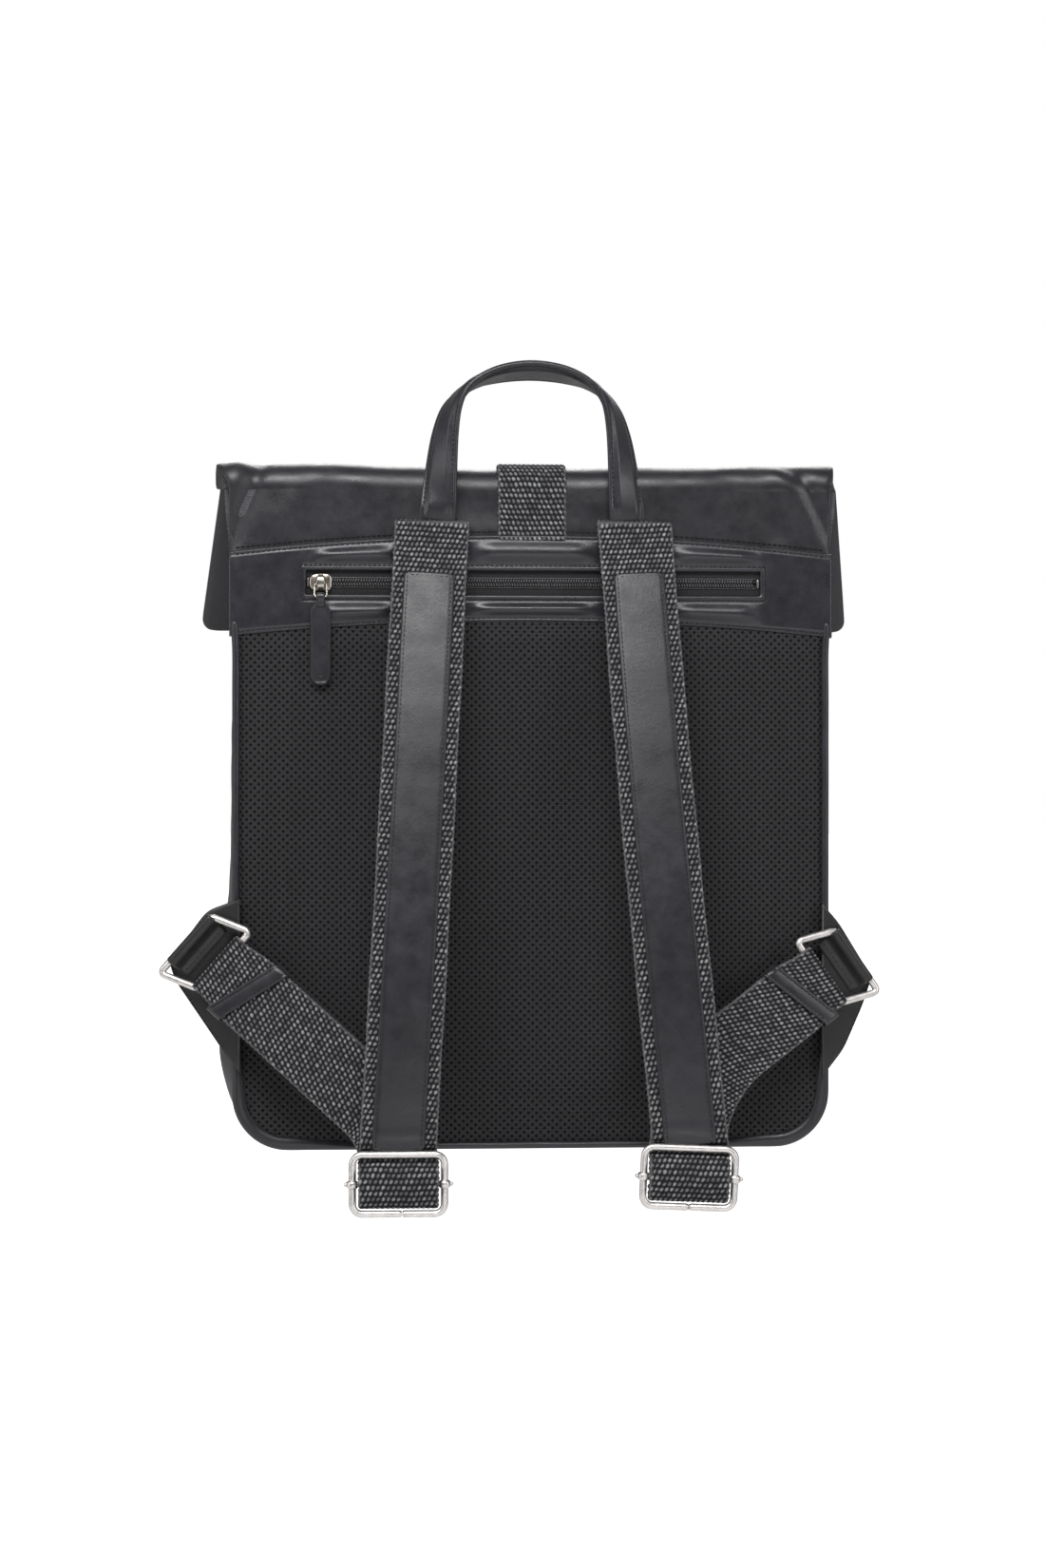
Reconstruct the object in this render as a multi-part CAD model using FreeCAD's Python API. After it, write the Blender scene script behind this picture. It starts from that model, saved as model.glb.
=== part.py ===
import FreeCAD, Part
import math
import os

# Leather backpack with a fold-over top, held by its carry handle.
# Millimetres. +Z is up, +X is to the right seen from the strap side, +Y points to the bag's front.
# While the pieces are shaped, y = 0 is the leather back plane. Saving moves them so that the origin
# is under the middle of the handle.

# Body
HALF_WIDTH = 165.0          # body, from its bottom up to SHOULDER_Z
TOP_HALF_WIDTH = 172.5      # at the fold
SHOULDER_Z = -150.0
BOTTOM_Z = -425.0
DEPTH = 108.0
CORNER_RADIUS = 30.0
LEATHER = 2.0
SLOPE = 30.0                # front slope and flap, from the vertical, in degrees
FIT = 0.3                   # gap left between pieces that lie on each other

# Fold and flap
HINGE_Z = -61.0
NECK_DEPTH = 12.5
HINGE_Y = NECK_DEPTH + 0.5
FOLD_OUTER = HINGE_Y        # the fold's outer radius puts it in line with the back plane
FOLD_INNER = 0.5
FLAP_LENGTH = 88.0
FLAP_HALF_WIDTH = 185.5
FLAP_CORNER = 7.0
OPEN_TOP = -30.0            # outlines run on above the fold and are cut at the hinge

# Closing strap over the flap
BAND_WIDTH = 38.0
WEBBING = 2.0
STRAP_PIVOT = 70.0          # along the flap from the fold
SNAP_AT = 155.0
SNAP_CUP_RADIUS = 6.5
STUD_RADIUS = 2.6

# Yoke and zip
YOKE_TOP = -88.0
YOKE_BOTTOM = -137.0
YOKE_FACE = -3.8
ZIP_LEFT = -125.0
ZIP_RIGHT = 127.0
ZIP_Z = -112.6
ZIP_HALF_HEIGHT = 6.85
SLIDER_X = -116.8
SLIDER_LENGTH = 12.6
SLIDER_HEIGHT = 10.5

# Handle
HANDLE_PIVOT_Z = -76.0
HANDLE_Y = -5.4
HANDLE_HALF_SPAN = 51.5
HANDLE_WIDTH = 21.0
HANDLE_THICKNESS = 5.0
HANDLE_LEAN = 7.0           # degrees towards the front
GRIP_Z = 0.0                # underside of the handle's middle

# Shoulder straps
STRAP_WIDTH = 40.0
STRAP_TOP_Z = -79.8
STRAP_TOP_Y = -5.0
STRAP_BOW = 59.0            # how much further from the back the adjuster hangs
ROOT_SHARE = 0.066          # share of the run that stays sewn to the yoke
SWING_GAP = 0.012           # share left free between the root and the swinging strap
OVERLAY_WIDTH = 28.0
WIRE = 2.0                  # radius of the adjuster and ring wire
FRAME_LENGTH = 48.9         # between the middles of the adjuster's side wires
FRAME_HEIGHT = 31.4
RING_LENGTH = 45.4
RING_REACH = 22.0
TAB_WIRE_Y = -10.0

# Each side: strap top, its sideways drift and adjuster place, the ring bar in the side tab, the lower
# webbing's fall below the horizontal, the adjuster's tilt and the side tab's outline.
SIDES = {
    "left": {
        "top_x": -55.5, "drift": 0.0, "adjuster": (-75.1, -436.0), "tab_bar": (-188.0, -308.4),
        "inward": 1.0, "fall": 41.5, "tilt": 0.0, "keeper_at": 22.0, "keeper_skew": 17.0,
        "tab": [(-163.0, -288.4), (-179.0, -293.0), (-200.0, -321.0), (-196.0, -332.0),
                (-171.0, -369.0), (-163.0, -380.5)],
    },
    "right": {
        "top_x": 56.6, "drift": -2.6, "adjuster": (79.9, -433.7), "tab_bar": (177.6, -318.4),
        "inward": -1.0, "fall": 35.0, "tilt": -2.5, "keeper_at": 17.0, "keeper_skew": 18.0,
        "tab": [(163.0, -292.0), (170.0, -300.0), (189.0, -331.0), (184.0, -346.0),
                (173.0, -371.0), (163.0, -384.5)],
    },
}

V = FreeCAD.Vector
AXIS_X = V(1, 0, 0)
AXIS_Y = V(0, 1, 0)
AXIS_Z = V(0, 0, 1)
ORIGIN = V(0, 0, 0)


def save(name, shape):
    """Write one node, moved so that the origin is under the middle of the handle."""
    placed = shape.copy()
    placed.translate(V(0, -grip_y(), 0))
    if not placed.isValid():
        print("not valid:", name)
    placed.exportStep("parts/" + name + ".step")


def grip_y():
    """Where the handle's middle is, in front of the back plane."""
    return HANDLE_Y + (GRIP_Z - HANDLE_PIVOT_Z) * math.tan(math.radians(HANDLE_LEAN))


# Shapes that several pieces share

def block(x_range, y_range, z_range):
    """Box between two values on each axis."""
    size = [high - low for low, high in (x_range, y_range, z_range)]
    return Part.makeBox(size[0], size[1], size[2], V(x_range[0], y_range[0], z_range[0]))


def rounded_face(corners, radii, to_point):
    """Flat face from corner points, each rounded by its radius; to_point lifts (a, b) into space."""
    edges = []
    count = len(corners)
    joints = []
    for i in range(count):
        here = V(corners[i][0], corners[i][1], 0)
        before = (V(corners[i - 1][0], corners[i - 1][1], 0) - here).normalize()
        after = (V(corners[(i + 1) % count][0], corners[(i + 1) % count][1], 0) - here).normalize()
        if radii[i] == 0:
            joints.append((here, None, here))
            continue
        half = before.getAngle(after) / 2
        reach = radii[i] / math.tan(half)
        bisector = (before + after).normalize()
        middle = here + bisector * (radii[i] / math.sin(half) - radii[i])
        joints.append((here + before * reach, middle, here + after * reach))
    for i in range(count):
        start, middle, end = joints[i]
        if middle is not None:
            edges.append(Part.Arc(to_point(start), to_point(middle), to_point(end)).toShape())
        following = joints[(i + 1) % count][0]
        edges.append(Part.LineSegment(to_point(end), to_point(following)).toShape())
    return Part.Face(Part.Wire(edges))


def across_prism(corners, radii, y_range):
    """Solid with an outline in X and Z, running along Y."""
    face = rounded_face(corners, radii, lambda p: V(p.x, y_range[0], p.y))
    return face.extrude(V(0, y_range[1] - y_range[0], 0))


def side_prism(corners, radii, x_range):
    """Solid with an outline in Y and Z, running along X."""
    face = rounded_face(corners, radii, lambda p: V(x_range[0], p.x, p.y))
    return face.extrude(V(x_range[1] - x_range[0], 0, 0))


def body_width(inset, y_range):
    """The body's outline seen from the back, drawn in by inset, along y_range."""
    low = HALF_WIDTH - inset
    high = TOP_HALF_WIDTH - inset
    corners = [(-high, OPEN_TOP), (-high, HINGE_Z), (-low, SHOULDER_Z), (-low, BOTTOM_Z + inset),
               (low, BOTTOM_Z + inset), (low, SHOULDER_Z), (high, HINGE_Z), (high, OPEN_TOP)]
    round_corner = max(CORNER_RADIUS - inset, 1.0)
    return across_prism(corners, [0, 300, 300, round_corner, round_corner, 300, 300, 0], y_range)


def body_side(inset, x_half, back_y=None):
    """The body's outline seen from the side, drawn in by inset, out to x_half both ways."""
    lean = math.radians(SLOPE)
    back = inset if back_y is None else back_y
    neck = NECK_DEPTH - inset
    front = DEPTH - inset
    shift = inset / math.cos(lean)
    neck_z = HINGE_Z - (neck - NECK_DEPTH + shift) / math.tan(lean)
    front_z = HINGE_Z - (front - NECK_DEPTH + shift) / math.tan(lean)
    corners = [(back, OPEN_TOP), (back, BOTTOM_Z + inset), (front, BOTTOM_Z + inset),
               (front, front_z), (neck, neck_z), (neck, OPEN_TOP)]
    radii = [0, 12.0, 24.0 - inset, 60.0, 0, 0]
    return side_prism(corners, radii, (-x_half, x_half))


def below(z):
    """Everything below a height."""
    return block((-400, 400), (-200, 300), (-600, z))


def between(low, high):
    """Everything between two heights."""
    return block((-400, 400), (-200, 300), (low, high))


def on_flap(shape):
    """Move a shape from the flap's own frame (fold at 0, hanging down, outward +Y) to its place."""
    placed = shape.copy()
    placed.rotate(ORIGIN, AXIS_X, SLOPE)
    placed.translate(V(0, HINGE_Y, HINGE_Z))
    return placed


def placement(origin, across, along):
    """Local X runs across, local Z runs against along, local Y points towards the bag."""
    up = along * -1
    inward = up.cross(across)
    matrix = FreeCAD.Matrix(across.x, inward.x, up.x, origin.x, across.y, inward.y, up.y, origin.y,
                            across.z, inward.z, up.z, origin.z, 0, 0, 0, 1)
    return FreeCAD.Placement(matrix)


def set_in(shape, place):
    """Copy of a shape at a placement."""
    placed = shape.copy()
    placed.Placement = place.multiply(placed.Placement)
    return placed


def ribbon(stations, width, thickness, lift=0.0):
    """Flat band through stations of (middle, across, outward), lifted outward."""
    sections = []
    for middle, across, outward in stations:
        centre = middle + outward * lift
        side = across * (width / 2)
        face = outward * (thickness / 2)
        corners = [centre - side - face, centre + side - face, centre + side + face, centre - side + face]
        sections.append(Part.makePolygon(corners + corners[:1]))
    return Part.makeLoft(sections, True, True)


def wire_frame(length, height, corner, radius):
    """Round wire bent into a rectangle in the XZ plane, centred on the origin."""
    half = (length / 2, height / 2)
    pieces = []
    for sign in (-1, 1):
        run = length - 2 * corner
        pieces.append(Part.makeCylinder(radius, run, V(-run / 2, 0, sign * half[1]), AXIS_X))
        rise = height - 2 * corner
        pieces.append(Part.makeCylinder(radius, rise, V(sign * half[0], 0, -rise / 2), AXIS_Z))
    for turn, (sx, sz) in enumerate(((1, 1), (-1, 1), (-1, -1), (1, -1))):
        bend = Part.makeTorus(corner, radius, ORIGIN, AXIS_Z, -180, 180, 90)
        bend.rotate(ORIGIN, AXIS_Z, 90 * turn)
        bend.rotate(ORIGIN, AXIS_X, 90)
        bend.translate(V(sx * (half[0] - corner), 0, sz * (half[1] - corner)))
        pieces.append(bend)
    return pieces[0].multiFuse(pieces[1:]).removeSplitter()


# Body panels

def make_body():
    """Front, gusset and bottom leather, with the collar leather behind the fold."""
    inside = body_width(LEATHER + 0.1, (-5, DEPTH + 5))
    wall = body_side(0, 300).cut(body_side(LEATHER, 310))
    front = wall.common(inside).common(below(HINGE_Z - 0.5))
    front = front.cut(block((-400, 400), (-10, LEATHER + 4), (-600, 0)))
    front = front.cut(snap_hole(1.4))
    save("front_panel", front.cut(block((-400, 400), (-10, 24), (-600, BOTTOM_Z + 10))))
    ring = body_width(0, (0, DEPTH)).cut(body_width(LEATHER, (-5, DEPTH + 5)))
    gusset = ring.common(body_side(0, 300)).common(below(HINGE_Z - 0.5))
    corner_top = BOTTOM_Z + CORNER_RADIUS + 10
    save("bottom_panel", gusset.common(below(corner_top)))
    sides = gusset.common(between(corner_top + 0.1, 0))
    save("gusset_left", sides.common(block((-400, 0), (-200, 300), (-600, 0))))
    save("gusset_right", sides.common(block((0, 400), (-200, 300), (-600, 0))))
    collar = body_width(LEATHER + 0.1, (0, LEATHER)).common(between(YOKE_TOP + FIT, HINGE_Z - 0.5))
    save("collar_back", collar)


def snap_hole(radius):
    """Round hole along the flap's outward direction, through the front at the snap."""
    return on_flap(Part.makeCylinder(radius, 30, V(0, -15, -SNAP_AT), AXIS_Y))


def make_back():
    """Mesh over foam, the board behind them, the yoke with its padding, and the edge binding."""
    pad_top = YOKE_BOTTOM - FIT
    pad_back = -FIT
    foam_face = -6.0
    mesh_face = -7.2
    inset = 4.6
    wrap = 1.4
    gap = 0.15
    pad = body_width(inset, (mesh_face, pad_back)).common(between(-600, pad_top))
    core = body_width(inset + wrap, (foam_face, pad_back + 1)).common(between(-600, pad_top - wrap))
    save("back_mesh", pad.cut(core))
    foam = body_width(inset + wrap + gap, (foam_face + gap, pad_back))
    save("back_foam", foam.common(between(-600, pad_top - wrap - gap)))
    board = body_width(LEATHER + 10, (FIT, LEATHER)).common(between(-600, YOKE_BOTTOM + 8))
    save("back_board", board)
    binding = body_width(0.4, (-4.0, -FIT)).cut(body_width(inset - 0.2, (-5, 1)))
    save("back_binding", binding.common(between(-600, pad_top)))
    yoke = body_width(0.4, (YOKE_FACE, YOKE_FACE + LEATHER)).common(between(YOKE_BOTTOM, YOKE_TOP))
    window = block((ZIP_LEFT, ZIP_RIGHT), (-10, 10), (ZIP_Z - ZIP_HALF_HEIGHT, ZIP_Z + ZIP_HALF_HEIGHT))
    save("back_yoke", yoke.cut(window))
    padding_y = (YOKE_FACE + LEATHER + 0.1, -0.1)
    strips = [block((-155, 155), padding_y, (YOKE_TOP - 11, YOKE_TOP - 1)),
              block((-155, 155), padding_y, (YOKE_BOTTOM + 1, YOKE_BOTTOM + 11))]
    save("yoke_padding", Part.makeCompound(strips))


def make_inside():
    """Lining, laptop sleeve, stiff base and the pouch behind the zip."""
    skin = 0.8
    gap = 0.3
    pouch_back = 10.6
    lining_back = pouch_back + 1.0
    outer = body_side(LEATHER + gap, HALF_WIDTH + 40, LEATHER + gap)
    outer = outer.common(body_width(LEATHER + gap, (-5, DEPTH + 5)))
    inner = body_side(LEATHER + gap + skin, HALF_WIDTH + 50, LEATHER + gap + skin)
    inner = inner.common(body_width(LEATHER + gap + skin, (-5, DEPTH + 5)))
    step = side_prism([(0, -75), (LEATHER + gap, -75), (lining_back, -100), (lining_back, -500), (0, -500)],
                      [0, 0, 0, 0, 0], (-300, 300))
    inner_step = side_prism([(0, -76), (LEATHER + gap + skin, -76), (lining_back + skin, -101),
                             (lining_back + skin, -500), (0, -500)], [0, 0, 0, 0, 0], (-300, 300))
    lining = outer.cut(step).cut(inner.cut(inner_step)).common(below(HINGE_Z - 0.5))
    save("lining", lining.cut(snap_hole(5.0)))
    half = HALF_WIDTH - LEATHER - gap - skin - 0.6
    sleeve_y = (30.0, 33.0)
    floor = BOTTOM_Z + LEATHER + gap + skin
    sleeve_top = -180.0
    sleeve_corners = [(-half, floor + FIT), (half, floor + FIT), (half, sleeve_top), (-half, sleeve_top)]
    save("laptop_sleeve", across_prism(sleeve_corners, [CORNER_RADIUS, CORNER_RADIUS, 10, 10], sleeve_y))
    base_edge = 25.0
    base_thickness = 2.0
    base = block((-half + base_edge, half - base_edge), (sleeve_y[1] + 2.0, DEPTH - base_edge),
                 (floor + FIT, floor + FIT + base_thickness))
    save("base_board", base)
    wall = 0.8
    pouch_y = (2.6, pouch_back)
    pouch_margin = 4.0
    pouch_x = (ZIP_LEFT - pouch_margin, ZIP_RIGHT + pouch_margin)
    pouch_z = (-320.0, ZIP_Z + ZIP_HALF_HEIGHT + pouch_margin)
    pouch = block(pouch_x, pouch_y, pouch_z)
    hollow = block((pouch_x[0] + wall, pouch_x[1] - wall), (pouch_y[0] + wall, pouch_y[1] - wall),
                   (pouch_z[0] + wall, pouch_z[1] - wall))
    mouth_z = (ZIP_Z - ZIP_HALF_HEIGHT, ZIP_Z + ZIP_HALF_HEIGHT)
    mouth = block((ZIP_LEFT, ZIP_RIGHT), (0, pouch_y[0] + 2), mouth_z)
    save("pocket_pouch", pouch.cut(hollow).cut(mouth))


def make_flap():
    """The fold and the flattened leather tube that hangs over the front."""
    fold_half = TOP_HALF_WIDTH
    layers = []
    for low, high in ((FOLD_INNER, FOLD_INNER + LEATHER), (FOLD_OUTER - LEATHER, FOLD_OUTER)):
        layers.append(fold_band(low, high, fold_half))
    save("top_fold", Part.makeCompound(layers))
    start = 1.0
    corners = [(-TOP_HALF_WIDTH, -start), (-FLAP_HALF_WIDTH, -FLAP_LENGTH),
               (FLAP_HALF_WIDTH, -FLAP_LENGTH), (TOP_HALF_WIDTH, -start)]
    radii = [0, FLAP_CORNER, FLAP_CORNER, 0]
    outer_r = (FOLD_OUTER - LEATHER, FOLD_OUTER)
    face = across_prism(corners, radii, outer_r)
    inset = [(-TOP_HALF_WIDTH + LEATHER, 5), (-FLAP_HALF_WIDTH + LEATHER, -FLAP_LENGTH - 5),
             (FLAP_HALF_WIDTH - LEATHER, -FLAP_LENGTH - 5), (TOP_HALF_WIDTH - LEATHER, 5)]
    rims_y = (FOLD_INNER + LEATHER + 0.1, FOLD_OUTER - LEATHER)
    rims = across_prism(corners, radii, rims_y).cut(across_prism(inset, [0, 0, 0, 0], (-5, 30)))
    save("flap_outer", on_flap(face.fuse(rims).removeSplitter()))
    save("flap_inner", on_flap(across_prism(corners, radii, (FOLD_INNER, FOLD_INNER + LEATHER))))


def fold_band(low, high, half_width):
    """A layer bent over the fold, from the back plane round to the flap's slope."""
    start = math.radians(180)
    end = math.radians(SLOPE)
    middle = (start + end) / 2

    def at(radius, angle):
        return V(-half_width, HINGE_Y + radius * math.cos(angle), HINGE_Z + radius * math.sin(angle))

    edges = [
        Part.Arc(at(high, start), at(high, middle), at(high, end)).toShape(),
        Part.LineSegment(at(high, end), at(low, end)).toShape(),
        Part.Arc(at(low, end), at(low, middle), at(low, start)).toShape(),
        Part.LineSegment(at(low, start), at(high, start)).toShape(),
    ]
    return Part.Face(Part.Wire(edges)).extrude(V(2 * half_width, 0, 0))


def make_closing_strap():
    """Webbing sewn in at the yoke, over the fold and down to a press stud on the front."""
    half = BAND_WIDTH / 2
    back_y = (-FIT - WEBBING, -FIT)
    save("closure_strap_back", block((-half, half), back_y, (YOKE_TOP + 0.5, HINGE_Z - 0.5)))
    low = FOLD_OUTER + FIT
    save("closure_strap_fold", fold_band(low, low + WEBBING, half))
    save("closure_strap_upper", on_flap(block((-half, half), (low, low + WEBBING), (-STRAP_PIVOT + 0.5, -1))))
    middle = low + WEBBING / 2
    end_r = 3.6
    route = [(STRAP_PIVOT + 0.5, middle), (FLAP_LENGTH + 4, middle), (FLAP_LENGTH + 22, end_r + 0.4),
             (SNAP_AT - 20, end_r), (SNAP_AT + 14, end_r)]
    stations = stations_along([V(0, r, -t) for t, r in route], AXIS_X)
    post_radius = 3.7
    hole = Part.makeCylinder(post_radius + FIT, 40, V(0, -10, -SNAP_AT), AXIS_Y)
    save("closure_strap_end", on_flap(ribbon(stations, BAND_WIDTH, WEBBING).cut(hole)))
    tip_low = end_r + WEBBING / 2 + 0.1
    tip_half = half + 1
    tip_reach = 18.0
    tip_skin = 1.6
    tip_corners = [(-tip_half, -SNAP_AT + tip_reach), (-tip_half, -SNAP_AT - tip_reach),
                   (tip_half, -SNAP_AT - tip_reach), (tip_half, -SNAP_AT + tip_reach)]
    tip = across_prism(tip_corners, [2, 12, 12, 2], (tip_low, tip_low + tip_skin))
    save("closure_strap_tip", on_flap(tip.cut(hole)))
    cup_low = 0.2
    cup_high = end_r - WEBBING / 2 - 0.1
    cap_low = tip_low + tip_skin + 0.1
    cup = Part.makeCylinder(SNAP_CUP_RADIUS, cup_high - cup_low, V(0, cup_low, -SNAP_AT), AXIS_Y)
    cup = cup.cut(Part.makeCylinder(STUD_RADIUS + 0.9, 2.0, V(0, cup_low - 0.01, -SNAP_AT), AXIS_Y))
    post = Part.makeCylinder(post_radius, cap_low - cup_high, V(0, cup_high, -SNAP_AT), AXIS_Y)
    cap = Part.makeCylinder(7.5, 1.2, V(0, cap_low, -SNAP_AT), AXIS_Y)
    save("snap_cap", on_flap(cup.fuse(post).fuse(cap).removeSplitter()))
    shank = Part.makeCylinder(1.2, 4.4, V(0, -2.5, -SNAP_AT), AXIS_Y)
    button = Part.makeCylinder(STUD_RADIUS, 1.9, V(0, -0.1, -SNAP_AT), AXIS_Y)
    plate = Part.makeCylinder(5.5, 0.3, V(0, -0.4, -SNAP_AT), AXIS_Y)
    washer = Part.makeCylinder(4.5, 0.9, V(0, -3.4, -SNAP_AT), AXIS_Y)
    save("snap_stud", on_flap(shank.fuse(button).fuse(plate).fuse(washer).removeSplitter()))


def make_zip():
    """Two tapes with their coils, the end stops, the slider, its link and the leather pull."""
    split = 0.6
    coil_half = 2.35
    tape_half = 12.0
    tape_y = (-1.6, -1.0)
    coil_y = (-2.8, -1.6)
    run = (ZIP_LEFT + 0.2, ZIP_RIGHT - 0.2)
    for name, sign in (("upper", 1), ("lower", -1)):
        low, high = sorted((ZIP_Z + sign * split, ZIP_Z + sign * tape_half))
        save("zip_tape_" + name, block(run, tape_y, (low, high)))
    coils = []
    for sign in (1, -1):
        low, high = sorted((ZIP_Z + sign * split, ZIP_Z + sign * coil_half))
        coils.append(block((ZIP_LEFT + 2.5, ZIP_RIGHT - 2.5), coil_y, (low, high)))
    save("zip_coils", Part.makeCompound(coils))
    stops = []
    for x in (ZIP_LEFT + 0.6, ZIP_RIGHT - 2.1):
        stops.append(block((x, x + 1.5), coil_y, (ZIP_Z - coil_half, ZIP_Z + coil_half)))
    save("zip_stops", Part.makeCompound(stops))
    make_zip_slider(split - 0.2)


def make_zip_slider(post_half):
    """Slider plates joined by a post between the coils, with a bridge for the pull's link."""
    plate_top = (-4.4, -3.1)
    plate_bottom = (-0.7, 0.3)
    half_length = SLIDER_LENGTH / 2
    half_height = SLIDER_HEIGHT / 2
    corners = [(-half_length, -half_height + 1.5), (half_length, -half_height), (half_length, half_height),
               (-half_length, half_height - 1.5)]
    radii = [2.0, 3.0, 3.0, 2.0]
    pieces = [across_prism(corners, radii, plate_top), across_prism(corners, radii, plate_bottom)]
    pieces.append(block((1.0, 4.5), (plate_top[0] + 0.5, plate_bottom[1] - 0.5), (-post_half, post_half)))
    bridge_z = (-4.2, 3.2)
    bridge_skin = 1.0
    bridge_y = -7.4
    bridge = block((-1.4, 1.4), (bridge_y, plate_top[0] + 0.3), bridge_z)
    bridge = bridge.cut(block((-5, 5), (bridge_y + bridge_skin, plate_top[0]),
                              (bridge_z[0] + bridge_skin, bridge_z[1] - bridge_skin)))
    pieces.append(bridge)
    slider = pieces[0].multiFuse(pieces[1:]).removeSplitter()
    slider.translate(V(SLIDER_X, 0, ZIP_Z))
    save("zip_slider", slider)
    link_wire = 0.6
    link_top = V(SLIDER_X, -5.4, ZIP_Z - 1.0)
    link_height = 8.2
    link_tilt = 25.0
    link = wire_frame(6.8, link_height, 1.2, link_wire)
    link.translate(V(0, 0, -link_height / 2))
    link.rotate(ORIGIN, AXIS_X, -link_tilt)
    link.translate(link_top)
    save("pull_link", link)
    link_y = link_top.y - link_height * math.sin(math.radians(link_tilt))
    bar_z = link_top.z - link_height * math.cos(math.radians(link_tilt))
    neck_half = 2.2
    skin_half = 1.2
    eye = Part.makeCylinder(2.0, 2 * neck_half, V(SLIDER_X - neck_half, link_y, bar_z), AXIS_X)
    neck = block((SLIDER_X - neck_half, SLIDER_X + neck_half), (link_y - skin_half, link_y + skin_half),
                 (bar_z - 5, bar_z))
    tab_half = 5.5
    tab_top = bar_z - 2.6
    tab_end = -169.5
    corners = [(-tab_half, tab_top), (-tab_half, tab_end), (tab_half, tab_end), (tab_half, tab_top)]
    tab = across_prism(corners, [2, 5.4, 5.4, 2], (link_y - skin_half, link_y + skin_half))
    tab.translate(V(SLIDER_X, 0, 0))
    hole = Part.makeCylinder(link_wire + 0.4, 10, V(SLIDER_X - 5, link_y, bar_z), AXIS_X)
    save("pull_tab", eye.fuse(neck).fuse(tab).cut(hole).removeSplitter())


def make_handle():
    """Leather band: its legs lie flat to the back and it turns edge-on towards the grip."""
    steps = 24
    lean = math.tan(math.radians(HANDLE_LEAN))
    crown_z = GRIP_Z + HANDLE_THICKNESS / 2
    spring_z = -40.0
    stations = []
    for i in range(steps + 1):
        share = i / steps * 2 - 1
        x, z, slope_x, slope_z = handle_arch(share, spring_z, crown_z)
        tangent = V(slope_x, slope_z * lean, slope_z).normalize()
        plane_normal = V(0, -1, lean).normalize()
        in_plane = tangent.cross(plane_normal)
        turn = math.radians(90) * smooth(abs(share) / 0.8)
        across = in_plane * math.sin(turn) + plane_normal * math.cos(turn)
        outward = tangent.cross(across).normalize()
        middle = V(x, HANDLE_Y + (z - HANDLE_PIVOT_Z) * lean, z)
        stations.append((middle, across, outward))
    save("carry_handle", ribbon(stations, HANDLE_WIDTH, HANDLE_THICKNESS))
    anchors = []
    anchor_y = (-2.9, -FIT)
    anchor_z = (YOKE_TOP + 0.4, HANDLE_PIVOT_Z - 1.0)
    for sign in (-1, 1):
        x = sign * HANDLE_HALF_SPAN
        anchors.append(block((x - HANDLE_WIDTH / 2, x + HANDLE_WIDTH / 2), anchor_y, anchor_z))
    save("handle_anchors", Part.makeCompound(anchors))


def handle_arch(share, spring_z, crown_z):
    """Place and direction on the handle's middle line; share runs from -1 to 1."""
    leg = 0.3
    start = HANDLE_PIVOT_Z + 0.6
    if abs(share) > 1 - leg:
        part = (1 - abs(share)) / leg
        z = start + (spring_z - start) * part
        return math.copysign(HANDLE_HALF_SPAN, share), z, 0.0, math.copysign(1.0, -share)
    angle = share / (1 - leg) * math.pi / 2
    x = HANDLE_HALF_SPAN * math.sin(angle)
    z = spring_z + (crown_z - spring_z) * math.cos(angle)
    return x, z, HANDLE_HALF_SPAN * math.cos(angle), -(crown_z - spring_z) * math.sin(angle)


def smooth(value):
    """Ease from 0 to 1."""
    value = min(max(value, 0.0), 1.0)
    return value * value * (3 - 2 * value)


def stations_along(points, across):
    """Stations for a ribbon through points, held square to its own direction."""
    stations = []
    for i, point in enumerate(points):
        before = points[max(i - 1, 0)]
        after = points[min(i + 1, len(points) - 1)]
        tangent = (after - before).normalize()
        side = (across - tangent * across.dot(tangent)).normalize()
        stations.append((point, side, tangent.cross(side)))
    return stations


# Shoulder straps

def strap_point(side, share):
    """Middle of a shoulder strap; share runs from the seam at the top to above the adjuster."""
    bottom_x, bottom_z = side["adjuster"]
    end_z = bottom_z + FRAME_HEIGHT / 2 + 8
    x = side["top_x"] + (bottom_x - side["top_x"]) * share + side["drift"] * math.sin(share * math.pi)
    y = STRAP_TOP_Y - STRAP_BOW * math.sin(share * math.pi / 2)
    return V(x, y, STRAP_TOP_Z + (end_z - STRAP_TOP_Z) * share)


def adjuster_place(side):
    """Placement of an adjuster, which faces straight back."""
    bottom_x, bottom_z = side["adjuster"]
    tilt = math.radians(side["tilt"])
    across = V(math.cos(tilt), 0, math.sin(tilt))
    middle = V(bottom_x, STRAP_TOP_Y - STRAP_BOW, bottom_z)
    return placement(middle, across, V(math.sin(tilt), 0, -math.cos(tilt)))


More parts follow.
